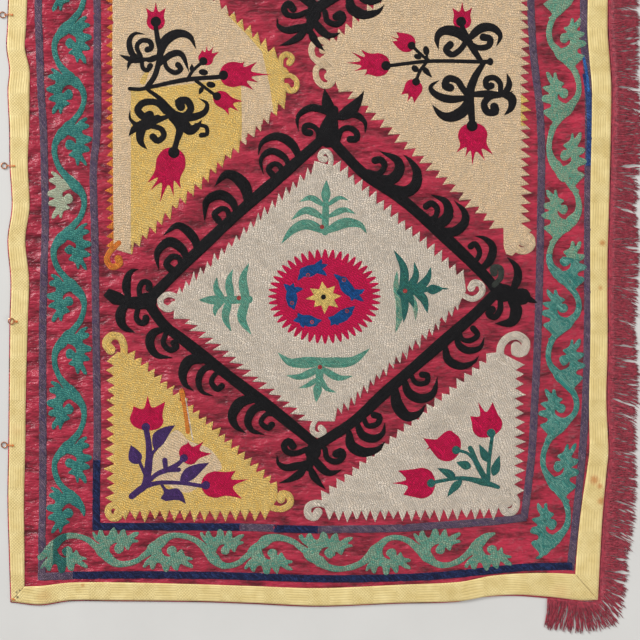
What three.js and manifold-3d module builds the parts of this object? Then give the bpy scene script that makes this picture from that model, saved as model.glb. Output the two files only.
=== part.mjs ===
// An embroidered wall cloth lying flat: one satin panel, a ribbon border of four mitred strips,
// a thread fringe on its right-hand edge and small metal rings along its left-hand edge.
// Millimetres, +Z up. The origin is the middle of the cloth, on its underside.

import * as THREE from 'three';
import { mergeVertices } from 'three/addons/utils/BufferGeometryUtils.js';
import Module from 'manifold-3d';

// Thicknesses and gaps
const CLOTH_THICKNESS = 2;
const RIBBON_THICKNESS = 1.2;
const PIECE_GAP = 0.3;
const TURNED_EDGE = 3;          // satin that shows outside the ribbon
const MITRE_SHIFT = 0.25;       // each ribbon's end stands this far back from the mitre line

// Half sizes of the plain rectangle that the uneven edges are read along
const HALF_WIDTH = 716;
const HALF_LENGTH = 1270;

// The ribbon's outer edge and its width, a row for each bend of the edge.
// at: place along the edge. edge: place of the ribbon's outer edge. ribbon: its width there.
const LEFT_EDGE = [
  { at: -1268, edge: -711, ribbon: 31 },
  { at: -1171, edge: -714, ribbon: 34 },
  { at: -1027, edge: -718, ribbon: 37 },
  { at: -895, edge: -716, ribbon: 38 },
  { at: -787, edge: -715, ribbon: 38 },
  { at: -595, edge: -713, ribbon: 41 },
  { at: -499, edge: -711, ribbon: 42 },
  { at: -403, edge: -718, ribbon: 40 },
  { at: -324, edge: -708, ribbon: 40 },
  { at: -223, edge: -713, ribbon: 41 },
  { at: -139, edge: -714, ribbon: 45 },
  { at: -43, edge: -718, ribbon: 50 },
  { at: 5, edge: -714, ribbon: 46 },
  { at: 58, edge: -721, ribbon: 42 },
  { at: 108, edge: -719, ribbon: 43 },
  { at: 330, edge: -712, ribbon: 43 },
  { at: 620, edge: -718, ribbon: 41 },
  { at: 900, edge: -711, ribbon: 42 },
  { at: 1268, edge: -713, ribbon: 46 },
];
const RIGHT_EDGE = [
  { at: -1268, edge: 695, ribbon: 58 },
  { at: -1147, edge: 701, ribbon: 56 },
  { at: -1051, edge: 707, ribbon: 52 },
  { at: -955, edge: 716, ribbon: 47 },
  { at: -907, edge: 720, ribbon: 45 },
  { at: -787, edge: 715, ribbon: 41 },
  { at: -667, edge: 718, ribbon: 41 },
  { at: -451, edge: 718, ribbon: 41 },
  { at: -307, edge: 722, ribbon: 45 },
  { at: -43, edge: 727, ribbon: 46 },
  { at: 29, edge: 723, ribbon: 48 },
  { at: 108, edge: 718, ribbon: 48 },
  { at: 360, edge: 722, ribbon: 45 },
  { at: 700, edge: 714, ribbon: 44 },
  { at: 1000, edge: 719, ribbon: 43 },
  { at: 1268, edge: 712, ribbon: 40 },
];
const BOTTOM_EDGE = [
  { at: -711, edge: -1270, ribbon: 36 },
  { at: -643, edge: -1277, ribbon: 44 },
  { at: -571, edge: -1267, ribbon: 42 },
  { at: -475, edge: -1267, ribbon: 43 },
  { at: -259, edge: -1269, ribbon: 40 },
  { at: -139, edge: -1273, ribbon: 40 },
  { at: 29, edge: -1280, ribbon: 42 },
  { at: 221, edge: -1273, ribbon: 43 },
  { at: 365, edge: -1269, ribbon: 46 },
  { at: 437, edge: -1257, ribbon: 48 },
  { at: 509, edge: -1254, ribbon: 51 },
  { at: 581, edge: -1259, ribbon: 57 },
  { at: 653, edge: -1267, ribbon: 62 },
  { at: 695, edge: -1266, ribbon: 60 },
];
// The far end is the near end turned by half a turn
const TOP_EDGE = BOTTOM_EDGE.map((row) => ({ at: -row.at, edge: -row.edge, ribbon: row.ribbon })).reverse();

// Soft folds, where the satin stands up between its stitched parts.
// x, y: middle of the fold. turn: its run, in degrees from +X. length, width: its foot. rise: its height.
const FOLDS = [
  { x: -598, y: -424, turn: 50, length: 230, width: 100, rise: 6 },
  { x: -612, y: -1068, turn: 72, length: 250, width: 95, rise: 5 },
  { x: -604, y: -20, turn: 25, length: 190, width: 95, rise: 5 },
  { x: -500, y: 30, turn: 8, length: 240, width: 100, rise: 4 },
  { x: 604, y: -60, turn: 18, length: 190, width: 100, rise: 5 },
  { x: 600, y: -850, turn: 12, length: 190, width: 100, rise: 4 },
  { x: -262, y: -290, turn: 50, length: 420, width: 110, rise: 5 },
  { x: 302, y: -283, turn: -49, length: 400, width: 110, rise: 5 },
  { x: -262, y: -772, turn: -47, length: 380, width: 110, rise: 5 },
  { x: 318, y: -800, turn: 48, length: 380, width: 110, rise: 5 },
  { x: -20, y: -1170, turn: 4, length: 300, width: 95, rise: 4 },
  { x: 262, y: 290, turn: 50, length: 420, width: 110, rise: 5 },
  { x: -302, y: 283, turn: -49, length: 400, width: 110, rise: 5 },
  { x: 262, y: 772, turn: -47, length: 380, width: 110, rise: 5 },
  { x: -318, y: 800, turn: 48, length: 380, width: 110, rise: 5 },
];
const FOLD_FADE = 45;           // folds die out over this distance from the ribbon

// Rows and columns of the satin's mesh: cells in each stretch of it, from one ribbon to the other
const COLUMN_STRETCHES = [
  { share: 0.11, cells: 4 },
  { share: 0.78, cells: 19 },
  { share: 0.11, cells: 3 },
];
const ROW_STRETCHES = [
  { share: 0.5, cells: 25 },
  { share: 0.5, cells: 19 },
];

// Fringe: a heading tape against the cloth's edge, with tapered locks of thread
const HEADING_WIDTH = 8;
const HEADING_THICKNESS = 2;
const FRINGE_RETURN = 575;      // the fringe goes round both corners, back to this place in X
const LOCK_COUNT = 236;
const LOCK_ROOT_DEPTH = 5;      // how far a lock's root reaches into the heading
const LOCK_WIDTH = 8;
const LOCK_HEIGHT = 1.8;
const LOCK_LENGTH = 68;
const LOCK_LENGTH_SPREAD = 8;
const CORNER_FAN = 75;          // locks turn round a corner over this distance on each side of it
// The locks' lean, in millimetres at the tip: a steady part by place, and two waves along the edge.
// at: place in Y. tip: how far the tips lie from straight out.
const LEAN_ROWS = [
  { at: -1268, tip: -6 },
  { at: -1100, tip: -16 },
  { at: -800, tip: -14 },
  { at: -300, tip: -6 },
  { at: 300, tip: 3 },
  { at: 900, tip: -5 },
  { at: 1268, tip: 2 },
];
const LEAN_WAVES = [
  { rise: 8, length: 250 },
  { rise: 3.5, length: 83 },
];

// Rings: flat round wire rings along the left-hand edge.
// x, y: centre. under: what the ring lies on reaches this high.
const RING_RADIUS = 6.8;
const WIRE_RADIUS = 1.2;
const RING_STEPS = 14;
const WIRE_SIDES = 6;
const ON_RIBBON = CLOTH_THICKNESS + RIBBON_THICKNESS + 2 * PIECE_GAP;
const RINGS = [
  { x: -729, y: -895, under: 0 },
  { x: -711, y: -598, under: ON_RIBBON },
  { x: -729, y: -225, under: 0 },
  { x: -733, y: 137, under: 0 },
  { x: -730, y: 473, under: 0 },
  { x: -730, y: 809, under: 0 },
  { x: -727, y: 1145, under: 0 },
];

const SATIN = { color: 0x9c2c45, roughness: 0.42, metalness: 0 };
const RIBBON = { color: 0xe0c98a, roughness: 0.75, metalness: 0 };
const FRINGE = { color: 0xa32040, roughness: 0.6, metalness: 0 };
const COPPER = { color: 0xb87a4e, roughness: 0.35, metalness: 0.9 };

const lerp = THREE.MathUtils.lerp;
const degToRad = THREE.MathUtils.degToRad;

// A bell that is 1 in the middle and runs out to 0 at -1 and 1
function bell(t) {
  return Math.abs(t) >= 1 ? 0 : Math.cos((Math.PI / 2) * t) ** 2;
}

// A fixed unevenness from 0 to 1 for the n-th piece
function uneven(n) {
  const value = Math.sin(n * 12.9898 + 4.1414) * 43758.5453;
  return value - Math.floor(value);
}

// A table's column read at a place, as a smooth curve through its rows
function readColumn(rows, column, at) {
  const place = THREE.MathUtils.clamp(at, rows[0].at, rows[rows.length - 1].at);
  const next = Math.max(1, rows.findIndex((row) => row.at >= place));
  const low = rows[next - 1];
  const high = rows[next];
  const before = rows[Math.max(0, next - 2)];
  const after = rows[Math.min(rows.length - 1, next + 1)];
  const span = high.at - low.at;
  const slopeLow = (high[column] - before[column]) / (high.at - before.at) * span;
  const slopeHigh = (after[column] - low[column]) / (after.at - low.at) * span;
  const t = (place - low.at) / span;
  const t2 = t * t;
  const t3 = t2 * t;
  return (2 * t3 - 3 * t2 + 1) * low[column] + (t3 - 2 * t2 + t) * slopeLow
    + (3 * t2 - 2 * t3) * high[column] + (t3 - t2) * slopeHigh;
}

function readEdge(rows, at) {
  return { edge: readColumn(rows, 'edge', at), ribbon: readColumn(rows, 'ribbon', at) };
}

function fractions(stretches) {
  const list = [0];
  let start = 0;
  for (const { share, cells } of stretches) {
    for (let cell = 1; cell <= cells; cell += 1) list.push(start + share * cell / cells);
    start += share;
  }
  return list;
}

// The lines of the mesh across the cloth: satin edge, ribbon, satin between, ribbon, satin edge
function lines(near, far, steps) {
  const inner = steps.map((f) => lerp(near.edge + near.ribbon, far.edge - far.ribbon, f));
  return [near.edge - TURNED_EDGE, near.edge, ...inner, far.edge, far.edge + TURNED_EDGE];
}

// Height of the folds above the floor at a place of the cloth
function foldHeight(x, y, clear) {
  let height = 0;
  for (const fold of FOLDS) {
    const turn = degToRad(fold.turn);
    const along = (x - fold.x) * Math.cos(turn) + (y - fold.y) * Math.sin(turn);
    const across = (y - fold.y) * Math.cos(turn) - (x - fold.x) * Math.sin(turn);
    height += fold.rise * bell(along / (fold.length / 2)) * bell(across / (fold.width / 2));
  }
  return height * THREE.MathUtils.smoothstep(clear, 0, FOLD_FADE);
}

// The mesh of the whole cloth, seen from above: points[column][row]
function clothGrid() {
  const columnSteps = fractions(COLUMN_STRETCHES);
  const rowSteps = fractions(ROW_STRETCHES);
  const plain = { ribbon: 44 };
  const plainX = lines({ edge: -HALF_WIDTH, ...plain }, { edge: HALF_WIDTH, ...plain }, columnSteps);
  const plainY = lines({ edge: -HALF_LENGTH, ...plain }, { edge: HALF_LENGTH, ...plain }, rowSteps);
  const xLines = plainY.map((y) => lines(readEdge(LEFT_EDGE, y), readEdge(RIGHT_EDGE, y), columnSteps));
  const yLines = plainX.map((x) => lines(readEdge(BOTTOM_EDGE, x), readEdge(TOP_EDGE, x), rowSteps));
  const lastColumn = plainX.length - 1;
  const lastRow = plainY.length - 1;
  return plainX.map((_, column) => plainY.map((__, row) => {
    const x = xLines[row][column];
    const y = yLines[column][row];
    const clearX = Math.min(x - xLines[row][2], xLines[row][lastColumn - 2] - x);
    const clearY = Math.min(y - yLines[column][2], yLines[column][lastRow - 2] - y);
    return new THREE.Vector3(x, y, foldHeight(x, y, Math.min(clearX, clearY)));
  }));
}

// The two triangles of a cell, cut along the line that points at the nearest corner of the cloth
function cellTriangles(grid, column, row) {
  const [west, east, south, north] = [column, column + 1, row, row + 1];
  const inWest = east <= (grid.length - 1) / 2;
  const inSouth = north <= (grid[0].length - 1) / 2;
  if (inWest === inSouth) {
    return { lower: [[west, south], [east, south], [east, north]], upper: [[west, south], [east, north], [west, north]] };
  }
  return { lower: [[west, south], [east, south], [west, north]], upper: [[east, south], [east, north], [west, north]] };
}

// A closed sheet over some triangles of the grid. shift moves a point of it sideways.
function sheetGeometry(grid, triangles, lift, thickness, shift = () => [0, 0]) {
  const positions = [];
  const numberOf = new Map();
  const point = ([column, row]) => {
    const key = `${column},${row}`;
    if (!numberOf.has(key)) {
      const { x, y, z } = grid[column][row];
      const [moveX, moveY] = shift(column, row);
      numberOf.set(key, positions.length / 6);
      positions.push(x + moveX, y + moveY, z + lift, x + moveX, y + moveY, z + lift + thickness);
    }
    return numberOf.get(key);
  };
  const indices = [];
  const edges = new Map();
  for (const corners of triangles) {
    const [a, b, c] = corners.map(point);
    indices.push(2 * a + 1, 2 * b + 1, 2 * c + 1, 2 * a, 2 * c, 2 * b);
    for (const [from, to] of [[a, b], [b, c], [c, a]]) {
      if (!edges.delete(`${to},${from}`)) edges.set(`${from},${to}`, [from, to]);
    }
  }
  for (const [from, to] of edges.values()) {
    indices.push(2 * from, 2 * to, 2 * to + 1, 2 * from, 2 * to + 1, 2 * from + 1);
  }
  const geometry = new THREE.BufferGeometry();
  geometry.setAttribute('position', new THREE.Float32BufferAttribute(positions, 3));
  geometry.setIndex(indices);
  geometry.computeVertexNormals();
  return geometry;
}

function makeMesh(name, geometry, look) {
  const mesh = new THREE.Mesh(geometry, new THREE.MeshStandardMaterial(look));
  mesh.name = name;
  return mesh;
}

function groundCloth(grid) {
  const triangles = [];
  for (let column = 0; column < grid.length - 1; column += 1) {
    for (let row = 0; row < grid[0].length - 1; row += 1) {
      const { lower, upper } = cellTriangles(grid, column, row);
      triangles.push(lower, upper);
    }
  }
  return makeMesh('ground_cloth', sheetGeometry(grid, triangles, 0, CLOTH_THICKNESS), SATIN);
}

// The four strips of the ribbon border, each cut to a mitre at both ends
function ribbonBorder(grid) {
  const lastColumn = grid.length - 2;
  const lastRow = grid[0].length - 2;
  const lift = CLOTH_THICKNESS + PIECE_GAP;
  const strips = [];
  for (const [name, column] of [['ribbon_left', 1], ['ribbon_right', lastColumn - 1]]) {
    const triangles = [];
    for (let row = 1; row < lastRow; row += 1) {
      const { lower, upper } = cellTriangles(grid, column, row);
      if (row > 1) triangles.push(lower);
      if (row < lastRow - 1) triangles.push(upper);
    }
    const middle = (lastRow + 1) / 2;
    const shift = (_, row) => {
      const atEnd = row <= 2 || row >= lastRow - 1;
      return [0, atEnd ? Math.sign(middle - row) * MITRE_SHIFT : 0];
    };
    strips.push(makeMesh(name, sheetGeometry(grid, triangles, lift, RIBBON_THICKNESS, shift), RIBBON));
  }
  for (const [name, row] of [['ribbon_bottom', 1], ['ribbon_top', lastRow - 1]]) {
    const triangles = [];
    for (let column = 1; column < lastColumn; column += 1) {
      const { lower, upper } = cellTriangles(grid, column, row);
      const atEnd = column === 1 || column === lastColumn - 1;
      if (!atEnd || row === 1) triangles.push(lower);
      if (!atEnd || row !== 1) triangles.push(upper);
    }
    const middle = (lastColumn + 1) / 2;
    const shift = (column) => {
      const atEnd = column <= 2 || column >= lastColumn - 1;
      return [atEnd ? Math.sign(middle - column) * MITRE_SHIFT : 0, 0];
    };
    strips.push(makeMesh(name, sheetGeometry(grid, triangles, lift, RIBBON_THICKNESS, shift), RIBBON));
  }
  return strips;
}

// The cloth's edge under the fringe, as the satin's own corner points: bottom, right side, top
function fringePath(grid) {
  const last = grid.length - 1;
  const bottom = grid.map((column) => column[0]).filter((p, i) => i < last && p.x > FRINGE_RETURN);
  const top = grid.map((column) => column[column.length - 1]).filter((p, i) => i < last && p.x > FRINGE_RETURN);
  return [...bottom, ...grid[last], ...top.reverse()].map((p) => new THREE.Vector2(p.x, p.y));
}

// Points at a distance outside a path, with round corners, each with its place along the path
function besidePath(path, distance, round) {
  const beside = [];
  let along = 0;
  path.forEach((p, i) => {
    const before = path[Math.max(0, i - 1)];
    const after = path[Math.min(path.length - 1, i + 1)];
    if (i > 0) along += p.distanceTo(before);
    const into = new THREE.Vector2().subVectors(i > 0 ? p : after, i > 0 ? before : p);
    const out = new THREE.Vector2().subVectors(i < path.length - 1 ? after : p, i < path.length - 1 ? p : before);
    const first = Math.atan2(-into.x, into.y);
    let turn = Math.atan2(-out.x, out.y) - first;
    turn -= 2 * Math.PI * Math.round(turn / (2 * Math.PI));
    const steps = round && Math.abs(turn) > 0.5 ? 4 : 0;
    for (let step = 0; step <= steps; step += 1) {
      const angle = first + turn * (steps ? step / steps : 0.5);
      const reach = steps ? distance : distance / Math.cos(turn / 2);
      beside.push({ x: p.x + reach * Math.cos(angle), y: p.y + reach * Math.sin(angle), angle, along });
    }
  });
  return beside;
}

// One lock of thread: a three-sided tapered prism lying on its flat side
function lockGeometry(root, angle, length, lean) {
  const out = new THREE.Vector2(Math.cos(angle), Math.sin(angle));
  const side = new THREE.Vector2(-out.y, out.x);
  const stations = [
    { reach: -LOCK_ROOT_DEPTH, width: 0.8, height: 0.75 },
    { reach: length * 0.3, width: 0.85, height: 0.95 },
    { reach: length * 0.68, width: 0.6, height: 0.8 },
  ];
  const positions = [];
  for (const { reach, width, height } of stations) {
    const sway = lean * Math.max(0, reach / length) ** 1.4;
    const middle = root.clone().addScaledVector(out, reach).addScaledVector(side, sway);
    const half = LOCK_WIDTH * width / 2;
    for (const [across, z] of [[-half, 0], [half, 0], [0, LOCK_HEIGHT * height]]) {
      positions.push(middle.x + side.x * across, middle.y + side.y * across, z);
    }
  }
  const tip = root.clone().addScaledVector(out, length).addScaledVector(side, lean);
  positions.push(tip.x, tip.y, 0);
  const tipNumber = 3 * stations.length;
  const indices = [0, 2, 1];
  for (let section = 0; section < stations.length; section += 1) {
    for (let corner = 0; corner < 3; corner += 1) {
      const a = 3 * section + corner;
      const b = 3 * section + (corner + 1) % 3;
      if (section === stations.length - 1) indices.push(a, b, tipNumber);
      else indices.push(a, b, b + 3, a, b + 3, a + 3);
    }
  }
  const geometry = new THREE.BufferGeometry();
  geometry.setAttribute('position', new THREE.Float32BufferAttribute(positions, 3));
  geometry.setIndex(indices);
  return geometry;
}

// The place, way out and lean of each lock along the heading's outer line
function lockPlaces(outerLine, cornerPlaces) {
  const lengths = [0];
  for (let i = 1; i < outerLine.length; i += 1) {
    const step = Math.hypot(outerLine[i].x - outerLine[i - 1].x, outerLine[i].y - outerLine[i - 1].y);
    lengths.push(lengths[i - 1] + step);
  }
  const total = lengths[lengths.length - 1];
  const places = [];
  for (let n = 0; n < LOCK_COUNT; n += 1) {
    const distance = total * (n + 0.5) / LOCK_COUNT;
    const next = Math.max(1, lengths.findIndex((length) => length >= distance));
    const t = (distance - lengths[next - 1]) / (lengths[next] - lengths[next - 1]);
    const [a, b] = [outerLine[next - 1], outerLine[next]];
    const along = lerp(a.along, b.along, t);
    const turns = cornerPlaces.map((place) => THREE.MathUtils.smoothstep(along, place - CORNER_FAN, place + CORNER_FAN));
    const angle = -Math.PI / 2 + (Math.PI / 2) * turns.reduce((sum, turn) => sum + turn, 0);
    const waves = LEAN_WAVES.reduce((sum, wave) => sum + wave.rise * Math.sin(2 * Math.PI * distance / wave.length), 0);
    const y = lerp(a.y, b.y, t);
    const root = new THREE.Vector2(lerp(a.x, b.x, t), y);
    places.push({ root, angle, lean: readColumn(LEAN_ROWS, 'tip', y) + waves });
  }
  return places;
}

function fringe(grid, wasm) {
  const toSolid = (geometry) => {
    const plain = geometry.index ? geometry.clone() : geometry;
    plain.deleteAttribute('normal');
    plain.deleteAttribute('uv');
    const merged = mergeVertices(plain, 1e-4);
    const vertProperties = Float32Array.from(merged.getAttribute('position').array);
    return new wasm.Manifold(new wasm.Mesh({ numProp: 3, vertProperties, triVerts: Uint32Array.from(merged.index.array) }));
  };
  const path = fringePath(grid);
  const innerLine = besidePath(path, PIECE_GAP + 0.1, false);
  const outerLine = besidePath(path, PIECE_GAP + HEADING_WIDTH, true);
  const outline = new THREE.Shape([...outerLine, ...innerLine.reverse()].map((p) => new THREE.Vector2(p.x, p.y)));
  let solid = toSolid(new THREE.ExtrudeGeometry(outline, { depth: HEADING_THICKNESS, bevelEnabled: false }));
  const cornerPlaces = outerLine.filter((p, i) => i > 0 && p.along === outerLine[i - 1].along).map((p) => p.along);
  const corners = [...new Set(cornerPlaces)];
  lockPlaces(outerLine, corners).forEach(({ root, angle, lean }, n) => {
    const length = LOCK_LENGTH + LOCK_LENGTH_SPREAD * (uneven(n) - 0.5);
    solid = solid.add(toSolid(lockGeometry(root, angle, length, lean)));
  });
  const { vertProperties, triVerts } = solid.getMesh();
  const geometry = new THREE.BufferGeometry();
  geometry.setAttribute('position', new THREE.Float32BufferAttribute(vertProperties, 3));
  geometry.setIndex([...triVerts]);
  geometry.computeVertexNormals();
  return makeMesh('fringe', geometry, FRINGE);
}

// Wire rings with flat-sided wire, each lying on one of its flats
function rings() {
  const wireHeight = 2 * WIRE_RADIUS * Math.cos(Math.PI / WIRE_SIDES);
  return RINGS.map(({ x, y, under }, n) => {
    const geometry = new THREE.TorusGeometry(RING_RADIUS, WIRE_RADIUS, WIRE_SIDES, RING_STEPS);
    const mesh = makeMesh(`ring_${n + 1}`, geometry, COPPER);
    mesh.position.set(x, y, under + wireHeight / 2);
    return mesh;
  });
}

const wasm = await Module();
wasm.setup();

const grid = clothGrid();
const cloth = new THREE.Group();
cloth.add(groundCloth(grid), ...ribbonBorder(grid), fringe(grid, wasm), ...rings());

export default cloth;
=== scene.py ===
"""An embroidered wall cloth lying flat: creased satin, stitched motifs, ribbon border, fringe and rings."""
import logging
import math
from dataclasses import dataclass, field
from enum import Enum

import bpy
import mathutils
import numpy as np
from mathutils.geometry import delaunay_2d_cdt
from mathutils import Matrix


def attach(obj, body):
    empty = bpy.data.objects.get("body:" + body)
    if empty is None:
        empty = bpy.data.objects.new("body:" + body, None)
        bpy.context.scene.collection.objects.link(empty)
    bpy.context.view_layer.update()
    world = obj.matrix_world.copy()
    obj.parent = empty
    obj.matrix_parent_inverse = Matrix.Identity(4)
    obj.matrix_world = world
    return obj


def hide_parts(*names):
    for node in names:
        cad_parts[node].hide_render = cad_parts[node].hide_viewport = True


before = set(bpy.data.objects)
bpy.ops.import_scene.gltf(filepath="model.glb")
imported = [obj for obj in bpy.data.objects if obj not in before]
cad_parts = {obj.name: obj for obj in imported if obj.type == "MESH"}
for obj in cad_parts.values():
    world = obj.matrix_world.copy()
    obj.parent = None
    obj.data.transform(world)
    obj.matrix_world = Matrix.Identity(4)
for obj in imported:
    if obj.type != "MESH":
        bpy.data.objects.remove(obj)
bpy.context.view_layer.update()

LOG = logging.getLogger("wall_cloth")
Material = bpy.types.Material
Piece = bpy.types.Object
Socket = bpy.types.NodeSocket

# Sizes of the cloth, in metres
MM = 0.001
CLOTH_TOP = 2.0 * MM
RIBBON_BOTTOM = 2.3 * MM
RIBBON_TOP = 3.5 * MM
TURNED_EDGE = 3.0 * MM
MITRE_GAP = 0.35 * MM
HALF_WIDTH = 716 * MM
HALF_LENGTH = 1270 * MM
FOLD_FADE = 45 * MM
SEED = 11

# The drawing steps in which the motifs are set out: one step is 2.4 mm of cloth, y runs down the cloth
STEP = 2.4 * MM
MIDDLE_X = 308.0
MIDDLE_Y = 72.0
TOP_IN_VIEW = (MIDDLE_Y - 27.0) * STEP

# A stroke's rounded end: angles over its half circle, and the half width from which it is rounded
END_STEPS = 7
ROUNDED_FROM = 0.5

# Columns: place along the edge, place of the ribbon's outer edge, width of the ribbon, all in millimetres
LEFT_EDGE = (
    (-1268, -711, 31), (-1171, -714, 34), (-1027, -718, 37), (-895, -716, 38), (-787, -715, 38),
    (-595, -713, 41), (-499, -711, 42), (-403, -718, 40), (-324, -708, 40), (-223, -713, 41),
    (-139, -714, 45), (-43, -718, 50), (5, -714, 46), (58, -721, 42), (108, -719, 43),
    (330, -712, 43), (620, -718, 41), (900, -711, 42), (1268, -713, 46),
)
RIGHT_EDGE = (
    (-1268, 695, 58), (-1147, 701, 56), (-1051, 707, 52), (-955, 716, 47), (-907, 720, 45),
    (-787, 715, 41), (-667, 718, 41), (-451, 718, 41), (-307, 722, 45), (-43, 727, 46),
    (29, 723, 48), (108, 718, 48), (360, 722, 45), (700, 714, 44), (1000, 719, 43), (1268, 712, 40),
)
BOTTOM_EDGE = (
    (-711, -1270, 36), (-643, -1277, 44), (-571, -1267, 42), (-475, -1267, 43), (-259, -1269, 40),
    (-139, -1273, 40), (29, -1280, 42), (221, -1273, 43), (365, -1269, 46), (437, -1257, 48),
    (509, -1254, 51), (581, -1259, 57), (653, -1267, 62), (695, -1266, 60),
)

# Columns: x, y, turn in degrees, length, width, rise of each broad fold, in millimetres
FOLDS = (
    (-598, -424, 50, 230, 100, 6), (-612, -1068, 72, 250, 95, 5), (-604, -20, 25, 190, 95, 5),
    (-500, 30, 8, 240, 100, 4), (604, -60, 18, 190, 100, 5), (600, -850, 12, 190, 100, 4),
    (-262, -290, 50, 420, 110, 5), (302, -283, -49, 400, 110, 5), (-262, -772, -47, 380, 110, 5),
    (318, -800, 48, 380, 110, 5), (-20, -1170, 4, 300, 95, 4), (262, 290, 50, 420, 110, 5),
    (-302, 283, -49, 400, 110, 5), (262, 772, -47, 380, 110, 5), (-318, 800, 48, 380, 110, 5),
)


class Yarn(Enum):
    """The embroidery yarns: the display colour, its darker dye, and the height above the satin in mm."""

    WHITE = ((216, 203, 187), (194, 179, 161), 0.9)
    CREAM = ((224, 197, 163), (205, 175, 138), 0.9)
    MUSTARD = ((226, 192, 116), (206, 166, 86), 0.9)
    ORANGE = ((220, 136, 52), (192, 98, 40), 1.0)
    BLACK = ((20, 17, 20), (9, 8, 11), 1.5)
    CRIMSON = ((204, 8, 74), (164, 4, 54), 1.3)
    BLUE = ((16, 80, 142), (10, 54, 104), 1.3)
    PURPLE = ((78, 48, 108), (54, 32, 78), 1.3)
    NAVY = ((22, 26, 62), (32, 44, 84), 0.9)
    BAND = ((112, 92, 108), (72, 58, 82), 0.8)
    BAND_BLUE = ((56, 88, 146), (32, 48, 96), 0.8)
    BRIGHT_BLUE = ((52, 116, 186), (40, 84, 150), 0.9)
    TEAL = ((72, 144, 132), (30, 96, 94), 1.2)
    SEA_GREEN = ((106, 160, 146), (44, 112, 104), 1.2)
    PALE_GREEN = ((134, 160, 136), (70, 130, 112), 1.1)
    GREY_GREEN = ((142, 166, 138), (78, 138, 116), 1.1)
    SPRIG_GREEN = ((110, 160, 138), (70, 130, 112), 1.1)
    DARK_GREEN = ((50, 110, 98), (32, 84, 82), 1.1)
    STAR = ((224, 194, 112), (204, 168, 92), 1.3)
    STRAW = ((180, 182, 156), (150, 162, 138), 1.1)
    RUST = ((172, 70, 66), (140, 48, 50), 1.2)
    CHARCOAL = ((60, 64, 58), (44, 48, 44), 1.4)

    @property
    def linear(self) -> np.ndarray:
        """Return the yarn's colour in linear light, from the display colour by the sRGB curve."""
        return linear_colour(self.value[0])

    @property
    def darker(self) -> np.ndarray:
        """Return the darker dye's colour in linear light."""
        return linear_colour(self.value[1])

    @property
    def lift(self) -> float:
        """Return how far the yarn's top stands above the satin, in metres."""
        return self.value[2] * MM


def linear_colour(display: tuple[float, float, float]) -> np.ndarray:
    """Turn a display colour into linear light.

    Formula: each channel c is c/12.92 below 0.04045 and ((c + 0.055)/1.055) to the power 2.4 above it.

    Args:
        display: red, green and blue from 0 to 255.

    Returns:
        Red, green, blue and alpha in linear light.
    """
    c = np.asarray(display, float) / 255.0
    light = np.where(c <= 0.04045, c / 12.92, ((c + 0.055) / 1.055) ** 2.4)
    return np.append(light, 1.0)


def dye(display: tuple[float, float, float]) -> tuple[float, ...]:
    """Return a display colour in linear light as a tuple, for a node's socket."""
    return tuple(linear_colour(display))


# Plane geometry


def on_cloth(points: np.ndarray) -> np.ndarray:
    """Turn drawing steps into metres on the cloth, x from the middle column, y up from the middle row."""
    p = np.atleast_2d(np.asarray(points, float))
    return np.column_stack(((p[:, 0] - MIDDLE_X) * STEP, (MIDDLE_Y - p[:, 1]) * STEP))


def cubic(t: np.ndarray, start: np.ndarray, end: np.ndarray, slope_start: np.ndarray,
          slope_end: np.ndarray) -> np.ndarray:
    """Return the cubic at t from nothing to one between two values with the slopes that it has at both."""
    dense = (2 * t**3 - 3 * t**2 + 1) * start + (t**3 - 2 * t**2 + t) * slope_start
    return dense + (3 * t**2 - 2 * t**3) * end + (t**3 - t**2) * slope_end


def even_turns(count: int) -> np.ndarray:
    """Return so many angles spread evenly over a whole turn, the first one zero."""
    return np.linspace(0, 2 * np.pi, count, endpoint=False)


def smooth_line(points: np.ndarray, closed: bool = False, spacing: float = 1.75) -> np.ndarray:
    """Run a smooth curve through points and space it evenly.

    Formula: between two points the curve is the cubic whose slope at each point is half the way from the
    point before it to the point after it. The dense curve is then read at equal distances along itself.

    Args:
        points: the points, one a row.
        closed: whether the curve returns to its first point.
        spacing: distance between the points that are returned.

    Returns:
        The points of the curve, without the first point repeated when it is closed.
    """
    p = np.asarray(points, float)
    if closed:
        before, after = np.roll(p, 1, 0), np.roll(p, -1, 0)
        start, end = p, after
        slope_start, slope_end = (after - before) / 2, (np.roll(p, -2, 0) - p) / 2
    else:
        slope = np.gradient(p, axis=0)
        start, end = p[:-1], p[1:]
        slope_start, slope_end = slope[:-1], slope[1:]
    t = np.linspace(0, 1, 14, endpoint=False)[None, :, None]
    a, b, m, n = (v[:, None, :] for v in (start, end, slope_start, slope_end))
    dense = cubic(t, a, b, m, n).reshape(-1, 2)
    dense = np.vstack((dense, p[:1] if closed else p[-1:]))
    return even_line(dense, spacing)[: -1 if closed else None]


def even_line(points: np.ndarray, spacing: float) -> np.ndarray:
    """Read a line of straight stretches at equal distances along itself, both ends kept."""
    steps = np.hypot(*np.diff(points, axis=0).T)
    reach = np.concatenate(((0.0,), np.cumsum(steps)))
    count = max(2, int(round(reach[-1] / spacing)) + 1)
    at = np.linspace(0, reach[-1], count)
    return np.column_stack((np.interp(at, reach, points[:, 0]), np.interp(at, reach, points[:, 1])))


def outline(*sections: list) -> np.ndarray:
    """Join smooth sections into one closed outline with a corner wherever two sections meet."""
    return np.vstack([smooth_line(section)[:-1] for section in sections])


def straight_outline(points: list, spacing: float = 1.5) -> np.ndarray:
    """Return a closed outline of straight sides, with points added so that none is longer than spacing."""
    p = np.vstack((points, points[:1])).astype(float)
    return np.vstack([even_line(p[i:i + 2], spacing)[:-1] for i in range(len(p) - 1)])


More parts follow.
